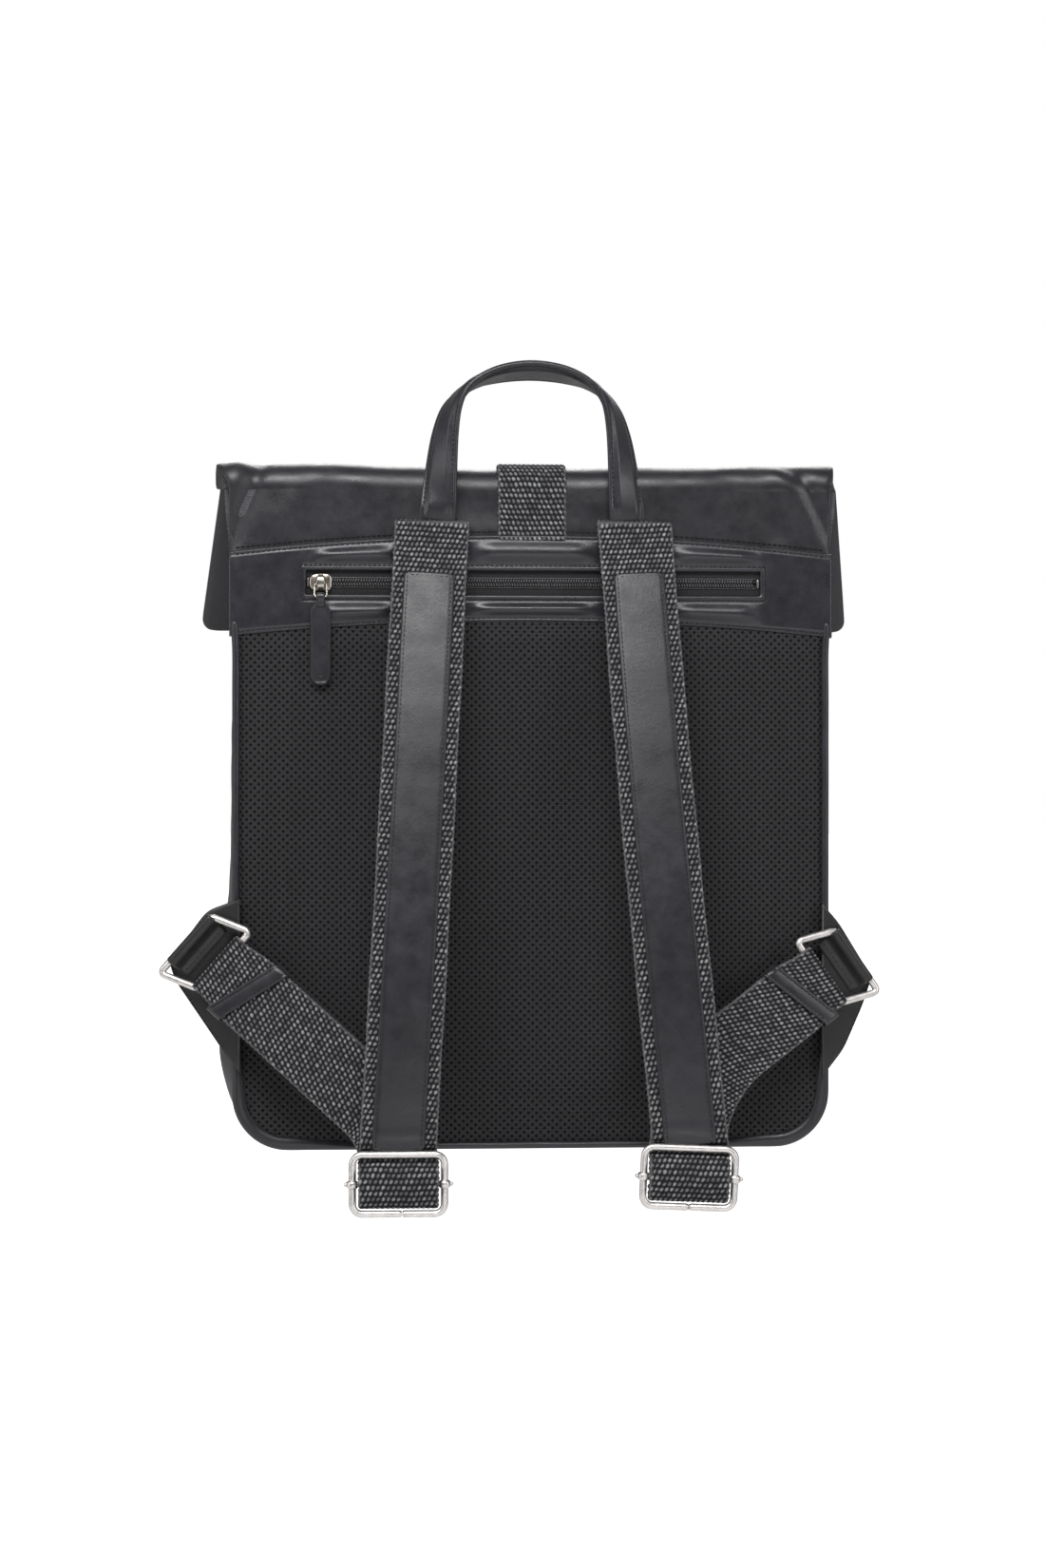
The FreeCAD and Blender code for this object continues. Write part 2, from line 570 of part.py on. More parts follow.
def make_shoulder_strap(name, side):
    """Root sewn to the yoke, webbing, leather overlay and the adjuster at its lower end."""
    steps = 14
    root = [strap_point(side, ROOT_SHARE * i / 3) for i in range(4)]
    save("strap_root_" + name, ribbon(stations_along(root, AXIS_X), STRAP_WIDTH, WEBBING))
    start = ROOT_SHARE + SWING_GAP
    shares = [start + (1 - start) * i / steps for i in range(steps + 1)]
    run = [strap_point(side, share) for share in shares]
    place = adjuster_place(side)
    threaded = [(17.5, 3.4), (13.5, 3.1), (4.0, -3.3), (0.0, -3.6), (-4.0, -3.3), (-11.0, 1.6)]
    over_bar = [place.multVec(V(0, inward, height)) for height, inward in threaded]
    across = place.Rotation.multVec(AXIS_X)
    band = stations_along(run + over_bar, across)
    save("shoulder_webbing_" + name, ribbon(band, STRAP_WIDTH, WEBBING))
    overlay = 1.8
    lift = WEBBING / 2 + overlay / 2 + 0.1
    leather = stations_along([strap_point(side, share) for share in shares[:-1]], across)
    save("strap_leather_" + name, ribbon(leather, OVERLAY_WIDTH, overlay, lift))
    frame = wire_frame(FRAME_LENGTH, FRAME_HEIGHT, 4.7, WIRE)
    save("adjuster_frame_" + name, set_in(frame, place))
    bar_reach = FRAME_LENGTH / 2
    bar = Part.makeCylinder(1.5, 2 * (bar_reach - WIRE - 0.5), V(-bar_reach + WIRE + 0.5, 0, 0), AXIS_X)
    collars = []
    for sign in (-1, 1):
        grip = Part.makeCylinder(WIRE + 1.4, 5.0, V(sign * bar_reach, 0, -2.5), AXIS_Z)
        collars.append(grip.cut(Part.makeCylinder(WIRE + 0.05, 7.0, V(sign * bar_reach, 0, -3.5), AXIS_Z)))
    save("adjuster_bar_" + name, set_in(bar.multiFuse(collars).removeSplitter(), place))


def make_side(name, side):
    """Lower webbing from the adjuster to the ring, its keeper, the ring and the side tab."""
    fall = math.radians(side["fall"])
    inward = side["inward"]
    heading = V(inward * math.cos(fall), 0, -math.sin(fall))
    bar_way = V(inward * math.sin(fall), 0, math.cos(fall))
    across = bar_way * inward
    tab_bar = V(side["tab_bar"][0], TAB_WIRE_Y, side["tab_bar"][1])
    rise = V(0, -5.0, 0)
    web_bar = tab_bar + heading * RING_REACH + rise
    ring_way = (web_bar - tab_bar).normalize()
    middle = (tab_bar + web_bar) * 0.5
    ring = wire_frame(RING_LENGTH, (web_bar - tab_bar).Length, 2.6, WIRE)
    save("side_ring_" + name, set_in(ring, placement(middle, across, ring_way)))
    make_side_tab(name, side, tab_bar, across)

    bottom_x, bottom_z = side["adjuster"]
    level = bottom_z + 8
    wide = abs(bottom_x - web_bar.x)
    tall = web_bar.z - level
    bend = (tall - wide * math.tan(fall)) / (math.cos(fall) - (1 - math.sin(fall)) * math.tan(fall))
    straight = (wide - bend * (1 - math.sin(fall))) / math.cos(fall)
    end_y = STRAP_TOP_Y - STRAP_BOW + 8.5
    total = straight + bend * (math.pi / 2 - fall)
    loop = 4.4
    start = 3.4
    straight_steps = 6
    bend_steps = 8
    places = []
    sides = []
    for i in range(straight_steps + bend_steps + 1):
        turn = fall
        reach = start + (straight - start) * min(i / straight_steps, 1)
        flat = heading * reach
        if i > straight_steps:
            turn += (math.pi / 2 - fall) * (i - straight_steps) / bend_steps
            reach += bend * (turn - fall)
            flat += V(inward * (math.sin(turn) - math.sin(fall)), 0, math.cos(turn) - math.cos(fall)) * bend
        depth = (end_y - web_bar.y) * reach / total
        places.append(web_bar + flat + V(0, depth, 0))
        sides.append(V(math.sin(turn), 0, inward * math.cos(turn)))
    places.append(places[-1] + V(0, 0, -14))
    sides.append(sides[-1])
    save_lower_webbing(name, places, sides, web_bar, across, loop)
    make_keeper(name, side, web_bar, heading, across, (end_y - web_bar.y) / total)


def save_lower_webbing(name, places, sides, web_bar, across, loop):
    """Two layers of webbing lying together, closed round the ring's bar."""
    stations = []
    for i, place in enumerate(places):
        before = places[max(i - 1, 0)]
        after = places[min(i + 1, len(places) - 1)]
        tangent = (after - before).normalize()
        side = (sides[i] - tangent * sides[i].dot(tangent)).normalize()
        stations.append((place, side, tangent.cross(side)))
    doubled = 2 * WEBBING + 0.4
    band = ribbon(stations, STRAP_WIDTH, doubled)
    start = web_bar - across * (STRAP_WIDTH / 2)
    eye = Part.makeCylinder(loop, STRAP_WIDTH, start, across)
    eye = eye.cut(Part.makeCylinder(WIRE + 0.5, STRAP_WIDTH, start, across))
    save("lower_webbing_" + name, band.fuse(eye))


def make_keeper(name, side, web_bar, heading, across, climb):
    """Leather sleeve round the doubled webbing, set askew."""
    way = (heading + V(0, climb, 0)).normalize()
    half = STRAP_WIDTH / 2 + 0.6
    skin = 1.4
    room = WEBBING + 0.7
    half_long = 4.0
    shear = math.tan(math.radians(side["keeper_skew"])) * side["inward"]
    edge = half + skin
    corners = [(-edge, -half_long - shear * edge), (edge, -half_long + shear * edge),
               (edge, half_long + shear * edge), (-edge, half_long - shear * edge)]
    sleeve = across_prism(corners, [1, 1, 1, 1], (-room - skin, room + skin))
    sleeve = sleeve.cut(block((-half, half), (-room, room), (-60, 60)))
    origin = web_bar + way * side["keeper_at"]
    save("keeper_" + name, set_in(sleeve, placement(origin, across, way)))


def make_side_tab(name, side, tab_bar, across):
    """Leather tab out of the side seam, folded round the ring's outer bar."""
    outer = 5.6
    inner = 4.0
    half_long = 17.0
    plate_y = (tab_bar.y + outer - 3.0, tab_bar.y + outer)
    radii = [0] + [3.0] * (len(side["tab"]) - 2) + [0]
    plate = across_prism(side["tab"], radii, plate_y)
    start = tab_bar - across * half_long
    sleeve = Part.makeCylinder(outer, 2 * half_long, start, across)
    tab = plate.fuse(sleeve)
    long_start = tab_bar - across * 40
    tab = tab.cut(Part.makeCylinder(inner, 80, long_start, across))
    solids = sorted(tab.Solids, key=lambda s: s.Volume)
    save("side_tab_" + name, solids[-1])


os.makedirs("parts", exist_ok=True)
make_body()
make_back()
make_inside()
make_flap()
make_closing_strap()
make_zip()
make_handle()
for side_name, side_values in SIDES.items():
    make_shoulder_strap(side_name, side_values)
    make_side(side_name, side_values)
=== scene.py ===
import math

import bpy
import numpy as np
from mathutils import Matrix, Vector


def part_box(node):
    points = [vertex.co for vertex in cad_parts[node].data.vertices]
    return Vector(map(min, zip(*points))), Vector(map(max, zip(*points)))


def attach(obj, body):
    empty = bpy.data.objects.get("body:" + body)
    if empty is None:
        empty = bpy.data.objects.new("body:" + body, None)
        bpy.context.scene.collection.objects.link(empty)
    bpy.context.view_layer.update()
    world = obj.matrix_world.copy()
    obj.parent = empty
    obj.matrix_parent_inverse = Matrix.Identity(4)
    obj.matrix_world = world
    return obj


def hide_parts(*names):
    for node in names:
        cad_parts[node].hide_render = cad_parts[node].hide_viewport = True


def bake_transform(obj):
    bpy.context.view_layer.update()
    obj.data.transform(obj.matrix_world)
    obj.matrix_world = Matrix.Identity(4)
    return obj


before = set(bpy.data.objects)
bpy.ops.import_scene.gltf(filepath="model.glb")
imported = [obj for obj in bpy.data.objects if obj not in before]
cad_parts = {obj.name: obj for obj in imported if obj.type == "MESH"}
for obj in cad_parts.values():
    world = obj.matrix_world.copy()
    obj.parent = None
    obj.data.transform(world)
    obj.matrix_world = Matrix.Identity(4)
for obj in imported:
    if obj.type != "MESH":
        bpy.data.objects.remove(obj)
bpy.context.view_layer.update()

# Shapes are worked out in millimetres, with y = 0 on the leather back plane, and placed in metres.
MM = 0.001
BACK_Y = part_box("collar_back")[0].y
HINGE_Y = 13.0
HINGE_Z = -61.0
SLOPE = math.radians(30.0)
FOLD_RADIUS = 13.0
FLAP_LENGTH = 88.0
TOP_HALF = 172.5
COLLAR_HALF = 168.0
FLAP_HALF = 185.5
BODY_HALF = 165.0
SHOULDER_Z = -150.0
BOTTOM_Z = -425.0
DEPTH = 108.0
NECK_DEPTH = 12.5
ZIP_Z = -112.6
ZIP_LEFT = -125.0
ZIP_RIGHT = 127.0
SLIDER_X = -116.8
WEB_WIDTH = 41.0
WEB_THICK = 2.0
SKIN = 1.9
CORNER = 30.0
YARN_COLUMN = 0.66
YARN_PITCH = 2.6
YARN_ROW = 3.0
AXIS_X = np.array([1.0, 0.0, 0.0])


# Helpers

def unit(v):
    """A vector, or each row of an array, at length 1."""
    return v / np.linalg.norm(v, axis=-1, keepdims=True)


def ease(value):
    """Smooth step from 0 to 1."""
    value = np.clip(value, 0.0, 1.0)
    return value * value * (3 - 2 * value)


def ripple(a, b, seed):
    """Smooth uneven field of two coordinates in millimetres, about -1 to 1."""
    total = 0.0
    for i, size in enumerate((95.0, 61.0, 37.0, 23.0)):
        turn = seed * 1.7 + i * 2.1
        along = a * math.cos(turn) + b * math.sin(turn)
        total = total + np.sin(along * 2 * math.pi / size + seed * 3.1 + i) / (i + 1.6)
    return total / 1.6


def grain(count, seed):
    """Repeatable numbers from 0 to 1."""
    return np.random.RandomState(seed).rand(count)


def make_piece(name, points, faces, material, body=None, smooth=True, groups=None, weave=None):
    """One mesh object from points in millimetres. groups gives each face's material index."""
    placed = np.asarray(points, float) * MM + np.array([0.0, BACK_Y, 0.0])
    mesh = bpy.data.meshes.new(name)
    mesh.from_pydata([tuple(p) for p in placed], [], [tuple(int(i) for i in f) for f in faces])
    materials = material if isinstance(material, list) else [material]
    for each in materials:
        mesh.materials.append(each)
    if groups is not None:
        mesh.polygons.foreach_set("material_index", np.asarray(groups, np.int32))
    mesh.polygons.foreach_set("use_smooth", [smooth] * len(mesh.polygons))
    if weave is not None:
        attribute = mesh.attributes.new("weave", "FLOAT_VECTOR", "POINT")
        attribute.data.foreach_set("vector", np.asarray(weave, np.float32).ravel())
    mesh.update()
    piece = bpy.data.objects.new(name, mesh)
    bpy.context.scene.collection.objects.link(piece)
    if body is not None:
        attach(piece, body)
    return piece


def grid_faces(rows, columns, closed=False, first=0, flip=False):
    """Quads of a grid of points stored row by row; closed joins the last column to the first."""
    across = columns if closed else columns - 1
    faces = []
    for i in range(rows - 1):
        for j in range(across):
            k = (j + 1) % columns
            quad = (first + i * columns + j, first + i * columns + k,
                    first + (i + 1) * columns + k, first + (i + 1) * columns + j)
            faces.append(quad[::-1] if flip else quad)
    return faces


def join_parts(parts):
    """Several (points, faces) as one."""
    points = []
    faces = []
    count = 0
    for part_points, part_faces in parts:
        points.append(np.asarray(part_points, float).reshape(-1, 3))
        faces.extend([tuple(i + count for i in face) for face in part_faces])
        count += len(points[-1])
    return np.concatenate(points), faces


def tube(path, radius, sides=10, closed=False):
    """Round wire along a path; radius is one number or one for each point."""
    path = np.asarray(path, float)
    count = len(path)
    if closed:
        tangents = unit(np.roll(path, -1, 0) - np.roll(path, 1, 0))
    else:
        tangents = unit(np.gradient(path, axis=0))
    normal = np.cross(tangents[0], [0.3, 0.9, 0.2])
    normal = unit(normal)
    radii = np.broadcast_to(np.asarray(radius, float), (count,))
    angles = np.arange(sides) * 2 * math.pi / sides
    points = []
    for i in range(count):
        normal = unit(normal - tangents[i] * normal.dot(tangents[i]))
        other = np.cross(tangents[i], normal)
        ring = np.outer(np.cos(angles), normal) + np.outer(np.sin(angles), other)
        points.append(path[i] + ring * radii[i])
    points = np.concatenate(points)
    faces = grid_faces(count, sides, True)
    if closed:
        last = (count - 1) * sides
        shift = best_turn(points[last:], points[:sides])
        for j in range(sides):
            k = (j + 1) % sides
            faces.append((last + j, last + k, (k + shift) % sides, (j + shift) % sides))
    else:
        faces += end_caps(count, sides)
    return points, faces


def best_turn(ring, other):
    """How far a ring's points are turned against another's."""
    sides = len(ring)
    return int(np.argmin([np.sum((ring - np.roll(other, -s, 0)) ** 2) for s in range(sides)]))


def smooth_path(points, spacing):
    """Evenly spaced points on a smooth curve through the given ones."""
    points = np.asarray(points, float)
    ends = np.concatenate([[2 * points[0] - points[1]], points, [2 * points[-1] - points[-2]]])
    fine = []
    for i in range(len(points) - 1):
        a, b, c, d = ends[i:i + 4]
        for t in np.linspace(0, 1, 24, endpoint=False):
            fine.append(0.5 * (2 * b + (c - a) * t + (2 * a - 5 * b + 4 * c - d) * t * t
                               + (3 * b - a - 3 * c + d) * t ** 3))
    fine.append(points[-1])
    return resample(np.array(fine), spacing)


def resample(path, spacing):
    """Points at even steps along a path."""
    lengths = along(path)
    steps = max(int(round(lengths[-1] / spacing)), 2)
    wanted = np.linspace(0, lengths[-1], steps + 1)
    return np.stack([np.interp(wanted, lengths, path[:, k]) for k in range(path.shape[1])], axis=1)


def frames_along(path, across):
    """Side and outward directions of a band along a path; across is one way or one for each point."""
    tangents = unit(np.gradient(path, axis=0))
    wanted = np.broadcast_to(np.asarray(across, float), path.shape)
    side = unit(wanted - tangents * np.sum(wanted * tangents, axis=1, keepdims=True))
    return side, np.cross(tangents, side)


def end_caps(rows, count):
    """Faces over the first and the last of several rows of points."""
    return [tuple(reversed(range(count))), tuple(range((rows - 1) * count, rows * count))]


def band(path, side, outward, profile):
    """Closed band: profile is an array (stations, points, 2) of across and outward offsets."""
    stations, count = profile.shape[:2]
    points = (path[:, None, :] + side[:, None, :] * profile[..., :1]
              + outward[:, None, :] * profile[..., 1:]).reshape(-1, 3)
    faces = grid_faces(stations, count, True)
    return points, faces + end_caps(stations, count)


def two_faced(x, top, low):
    """Across-section from one face's points and, back again without the ends, the other's."""
    return np.concatenate([np.stack([x, top], 1), np.stack([x, low], 1)[::-1][1:-1]])


def strip_profile(half, thickness, columns, edge=0.8):
    """Across-section of a flat strip with rounded edges, outer face first from left to right."""
    x = np.linspace(-half, half, columns)
    fall = np.clip((half - np.abs(x)) / edge, 0, 1)
    height = thickness / 2 * np.sqrt(1 - (1 - fall) ** 2 * 0.96)
    return two_faced(x, height, -height)


def end_taper(lengths, radius, half):
    """Share of the half width left at each place along a strip whose corners are rounded."""
    total = lengths[-1]
    near = np.minimum(lengths, total - lengths)
    reach = np.clip(near, 0, radius)
    cut = radius - np.sqrt(np.maximum(radius ** 2 - (radius - reach) ** 2, 0))
    return (half - cut) / half


def along(path):
    """Length from the start to each point of a path."""
    return np.concatenate([[0], np.cumsum(np.linalg.norm(np.diff(path, axis=0), axis=1))])


def capsule_row(path, normal, pitch=2.9, length=2.2, radius=0.3, lift=0.12, closed=False):
    """Stitches lying along a path on a surface; normal is one direction or one for each point."""
    path = np.asarray(path, float)
    if closed:
        path = np.concatenate([path, path[:1]])
    normals = np.broadcast_to(np.asarray(normal, float), path.shape)
    fine = resample(np.concatenate([path, normals], axis=1), pitch / 2)
    count = (len(fine) - 1) // 2
    parts = []
    shares = np.array([-0.5, -0.42, -0.2, 0.2, 0.42, 0.5])
    widths = np.array([0.25, 0.8, 1.0, 1.0, 0.8, 0.25])
    sides = 6
    angles = np.arange(sides) * 2 * math.pi / sides
    for i in range(count):
        middle = fine[2 * i + 1]
        way = unit(fine[min(2 * i + 2, len(fine) - 1)][:3] - fine[2 * i][:3])
        up = unit(middle[3:] - way * middle[3:].dot(way))
        other = np.cross(way, up)
        rise = lift - 0.35 * (1 - widths)
        ring = np.outer(np.cos(angles), up) + np.outer(np.sin(angles), other)
        points = (middle[:3] + way * (shares * length)[:, None] + up * rise[:, None])[:, None, :]
        points = points + ring[None] * (radius * widths)[:, None, None]
        faces = grid_faces(len(shares), sides, True)
        parts.append((points, faces + end_caps(len(shares), sides)))
    return join_parts(parts)


def lathe(profile, middle, axis, sides=40):
    """Turned solid: profile is (radius, height along the axis) from the axis to the axis."""
    axis = unit(np.asarray(axis, float))
    first = unit(np.cross(axis, [1.0, 0.2, 0.1]))
    second = np.cross(axis, first)
    angles = np.arange(sides) * 2 * math.pi / sides
    ring = np.outer(np.cos(angles), first) + np.outer(np.sin(angles), second)
    points = [middle + ring * max(r, 0.01) + axis * h for r, h in profile]
    faces = grid_faces(len(profile), sides, True)
    return np.concatenate(points), faces + end_caps(len(profile), sides)


# Materials

def node_material(name):
    """New material, with its node tree and its shader."""
    material = bpy.data.materials.new(name)
    material.use_nodes = True
    tree = material.node_tree
    return material, tree, tree.nodes["Principled BSDF"]


def add_node(tree, kind, values=None, links=None, **settings):
    """Add a node, set its inputs and link what feeds it."""
    node = tree.nodes.new(kind)
    for key, value in settings.items():
        setattr(node, key, value)
    for key, value in (values or {}).items():
        node.inputs[key].default_value = value
    for key, source in (links or {}).items():
        tree.links.new(source, node.inputs[key])
    return node


def calc(tree, operation, first, second=None, third=None):
    """A math node; arguments are sockets or numbers."""
    node = tree.nodes.new("ShaderNodeMath")
    node.operation = operation
    for i, value in enumerate((first, second, third)):
        if value is None:
            continue
        if isinstance(value, (int, float)):
            node.inputs[i].default_value = value
        else:
            tree.links.new(value, node.inputs[i])
    return node.outputs[0]


def object_point(tree):
    """Coordinates in the object's own metres, which ride with it."""
    return tree.nodes.new("ShaderNodeTexCoord").outputs["Object"]


def noise(tree, point, scale, detail=3.0, roughness=0.55):
    """Noise at a scale per metre."""
    node = add_node(tree, "ShaderNodeTexNoise", {"Scale": scale, "Detail": detail, "Roughness": roughness},
                    {"Vector": point})
    return node.outputs["Fac"]


def ramp(tree, source, stops):
    """Colour ramp through (position, colour) stops."""
    node = tree.nodes.new("ShaderNodeValToRGB")
    tree.links.new(source, node.inputs[0])
    elements = node.color_ramp.elements
    while len(elements) < len(stops):
        elements.new(0.5)
    for element, (position, colour) in zip(elements, stops):
        element.position = position
        element.color = (*colour, 1.0)
    return node.outputs["Color"]


def bump(tree, shader, height, strength, distance, under=None):
    """Bump from a height socket, into the shader unless another bump follows."""
    links = {"Height": height}
    if under is not None:
        links["Normal"] = under
    node = add_node(tree, "ShaderNodeBump", {"Strength": strength, "Distance": distance}, links)
    tree.links.new(node.outputs["Normal"], shader.inputs["Normal"])
    return node.outputs["Normal"]


def leather_material(name, base, rough, wear):
    """Smooth-grain leather: fine pores, slow tone changes, soft creases and rubbed patches."""
    material, tree, shader = node_material(name)
    point = object_point(tree)
    broad = noise(tree, point, 18.0, 4.0)
    cloud = noise(tree, point, 95.0, 5.0, 0.65)
    mixed = calc(tree, "ADD", calc(tree, "MULTIPLY", broad, 0.6), calc(tree, "MULTIPLY", cloud, 0.4))
    low = tuple(c * 0.72 for c in base)
    high = tuple(c * (1.25 + wear) for c in base)
    tree.links.new(ramp(tree, mixed, [(0.3, low), (0.52, base), (0.72, high)]), shader.inputs["Base Color"])
    pores = add_node(tree, "ShaderNodeTexVoronoi", {"Scale": 1500.0}, {"Vector": point},
                     feature="DISTANCE_TO_EDGE").outputs["Distance"]
    pebbles = noise(tree, point, 800.0, 2.0)
    wrinkle = noise(tree, point, 60.0, 6.0, 0.7)
    rough_range = add_node(tree, "ShaderNodeMapRange", {"From Min": 0.3, "From Max": 0.7,
                           "To Min": rough - 0.07, "To Max": rough + 0.1}, {"Value": cloud})
    tree.links.new(rough_range.outputs[0], shader.inputs["Roughness"])
    first = bump(tree, shader, wrinkle, 0.14, 0.0012)
    second = bump(tree, shader, pebbles, 0.16, 0.0003, first)
    bump(tree, shader, pores, 0.22, 0.00025, second)
    shader.inputs["Specular IOR Level"].default_value = 0.45
    shader.inputs["Sheen Weight"].default_value = 0.05
    shader.inputs["Sheen Roughness"].default_value = 0.5
    return material


def cloth_material(name, base, light, scale, rough=0.85, strength=0.5):
    """Plain fabric: crossed threads with a slow tone change."""
    material, tree, shader = node_material(name)
    point = object_point(tree)
    split = add_node(tree, "ShaderNodeSeparateXYZ", links={"Vector": point})
    one = calc(tree, "SINE", calc(tree, "MULTIPLY", split.outputs["X"], scale))
    two = calc(tree, "SINE", calc(tree, "MULTIPLY", split.outputs["Z"], scale))
    three = calc(tree, "SINE", calc(tree, "MULTIPLY", split.outputs["Y"], scale))
    cross = calc(tree, "MULTIPLY", calc(tree, "ADD", one, three), calc(tree, "ADD", two, 0.15))
    fuzz = noise(tree, point, 900.0, 3.0)
    height = calc(tree, "ADD", calc(tree, "MULTIPLY", cross, 0.25), fuzz)
    tree.links.new(ramp(tree, height, [(0.25, base), (0.8, light)]), shader.inputs["Base Color"])
    shader.inputs["Roughness"].default_value = rough
    shader.inputs["Specular IOR Level"].default_value = 0.25
    bump(tree, shader, height, strength, 0.0004)
    return material


def webbing_material(name, pitch, row, twill):
    """Coarse heathered webbing: staggered beads with pale tips over dark yarn, frayed pale edges."""
    material, tree, shader = node_material(name)
    attribute = add_node(tree, "ShaderNodeAttribute", attribute_name="weave")
    split = add_node(tree, "ShaderNodeSeparateXYZ", links={"Vector": attribute.outputs["Vector"]})
    point = object_point(tree)
    wobble = calc(tree, "MULTIPLY", calc(tree, "SUBTRACT", noise(tree, point, 420.0, 2.0), 0.5), 0.9)
    drift = calc(tree, "MULTIPLY", calc(tree, "SUBTRACT", noise(tree, point, 90.0, 2.0), 0.5), 1.6)
    rows = calc(tree, "DIVIDE", calc(tree, "ADD", split.outputs["Y"], calc(tree, "ADD", wobble, drift)), row)
    row_index = calc(tree, "FLOOR", rows)
    stagger = calc(tree, "MULTIPLY", calc(tree, "MODULO", row_index, 2.0), 0.5)
    place = calc(tree, "DIVIDE", calc(tree, "ADD", split.outputs["X"], wobble), pitch)
    columns = calc(tree, "ADD", place, stagger)
    column_index = calc(tree, "FLOOR", columns)
    in_u = calc(tree, "SUBTRACT", calc(tree, "SUBTRACT", columns, column_index), 0.5)
    in_v = calc(tree, "SUBTRACT", calc(tree, "SUBTRACT", rows, row_index), 0.5)
    slanted = calc(tree, "ADD", in_u, calc(tree, "MULTIPLY", in_v, twill))
    squares = [calc(tree, "POWER", calc(tree, "ABSOLUTE", calc(tree, "DIVIDE", offset, reach)), 2.0)
               for offset, reach in ((slanted, 0.47), (in_v, 0.5))]
    distance = calc(tree, "ADD", *squares)
    height = calc(tree, "SQRT", calc(tree, "MAXIMUM", calc(tree, "SUBTRACT", 1.0, distance), 0.0))
    cell = add_node(tree, "ShaderNodeCombineXYZ", links={"X": column_index, "Y": row_index})
    random = add_node(tree, "ShaderNodeTexWhiteNoise", links={"Vector": cell.outputs[0]},
                      noise_dimensions="2D")
    fibres = noise(tree, point, 2600.0, 3.0, 0.7)
    tone = calc(tree, "MULTIPLY", calc(tree, "POWER", height, 2.2),
                calc(tree, "ADD", calc(tree, "MULTIPLY", random.outputs["Value"], 0.5), 0.45))
    tone = calc(tree, "MULTIPLY", tone, calc(tree, "ADD", calc(tree, "MULTIPLY", fibres, 1.3), 0.3))
    edge = calc(tree, "MULTIPLY", split.outputs["Z"], calc(tree, "ADD", fibres, 0.1))
    tone = calc(tree, "MAXIMUM", tone, calc(tree, "MULTIPLY", edge, 0.75))
    stops = [(0.0, (0.006, 0.006, 0.0075)), (0.25, (0.028, 0.028, 0.031)), (0.55, (0.115, 0.116, 0.119)),
             (1.0, (0.30, 0.30, 0.295))]
    tree.links.new(ramp(tree, tone, stops), shader.inputs["Base Color"])
    shader.inputs["Roughness"].default_value = 0.85
    shader.inputs["Specular IOR Level"].default_value = 0.2
    first = bump(tree, shader, height, 0.7, 0.0006)
    bump(tree, shader, fibres, 0.35, 0.0003, first)
    return material


def metal_material(name, base, rough):
    """Satin plating: fine scratches and slightly duller patches."""
    material, tree, shader = node_material(name)
    point = object_point(tree)
    patches = noise(tree, point, 260.0, 4.0)
    fine = noise(tree, point, 2400.0, 2.0)
    low = tuple(c * 0.82 for c in base)
    tree.links.new(ramp(tree, patches, [(0.35, low), (0.6, base)]), shader.inputs["Base Color"])
    rough_range = add_node(tree, "ShaderNodeMapRange", {"From Min": 0.3, "From Max": 0.7,
                           "To Min": rough - 0.05, "To Max": rough + 0.1}, {"Value": patches})
    tree.links.new(rough_range.outputs[0], shader.inputs["Roughness"])
    shader.inputs["Metallic"].default_value = 1.0
    bump(tree, shader, fine, 0.08, 0.0001)
    return material


def speckled_material(name, base, light, scale, rough):
    """Foam, board, thread or coil: close-grained with small tone changes."""
    material, tree, shader = node_material(name)
    point = object_point(tree)
    cells = noise(tree, point, scale, 4.0, 0.6)
    tree.links.new(ramp(tree, cells, [(0.35, base), (0.7, light)]), shader.inputs["Base Color"])
    shader.inputs["Roughness"].default_value = rough
    shader.inputs["Specular IOR Level"].default_value = 0.3
    bump(tree, shader, cells, 0.3, 0.0003)
    return material


LEATHER_SKIN = leather_material("leather_skin", (0.0106, 0.0096, 0.0132), 0.38, 0.3)
LEATHER_YOKE = leather_material("leather_yoke", (0.0122, 0.0110, 0.0150), 0.33, 0.4)
LEATHER_MATT = leather_material("leather_matt", (0.0110, 0.0100, 0.0138), 0.36, 0.3)
LEATHER_TAB = leather_material("leather_tab", (0.0062, 0.0060, 0.0070), 0.40, 0.2)
LEATHER_FLESH = cloth_material("leather_flesh", (0.02, 0.019, 0.019), (0.045, 0.043, 0.042), 1500.0)
WEBBING = webbing_material("webbing_weave", YARN_PITCH, YARN_ROW, 0.35)
NICKEL = metal_material("satin_nickel", (0.66, 0.635, 0.62), 0.40)
DARK_NICKEL = metal_material("aged_nickel", (0.34, 0.31, 0.275), 0.28)
THREAD = speckled_material("thread", (0.006, 0.006, 0.007), (0.016, 0.016, 0.017), 2500.0, 0.6)
MESH_KNIT = cloth_material("mesh_knit", (0.0078, 0.0074, 0.0084), (0.025, 0.024, 0.0265), 5200.0, 0.8, 0.4)
PIT = speckled_material("mesh_pit", (0.0015, 0.0015, 0.0015), (0.003, 0.003, 0.003), 900.0, 1.0)
FOAM = speckled_material("foam", (0.012, 0.012, 0.012), (0.03, 0.03, 0.03), 1200.0, 0.95)
BOARD = speckled_material("board", (0.10, 0.10, 0.10), (0.17, 0.17, 0.165), 500.0, 0.7)
LINING = cloth_material("lining_cloth", (0.035, 0.036, 0.04), (0.085, 0.087, 0.095), 4200.0)
TAPE = cloth_material("zip_tape", (0.008, 0.008, 0.009), (0.022, 0.022, 0.024), 5600.0)
COIL = speckled_material("zip_coil", (0.03, 0.03, 0.032), (0.10, 0.10, 0.104), 1500.0, 0.28)


# The leather tube: body, fold and flap share their rings, so they meet at every joint

TUBE_COLUMNS = 120
TUBE_DEPTH = 26
TUBE_CORNER = 7


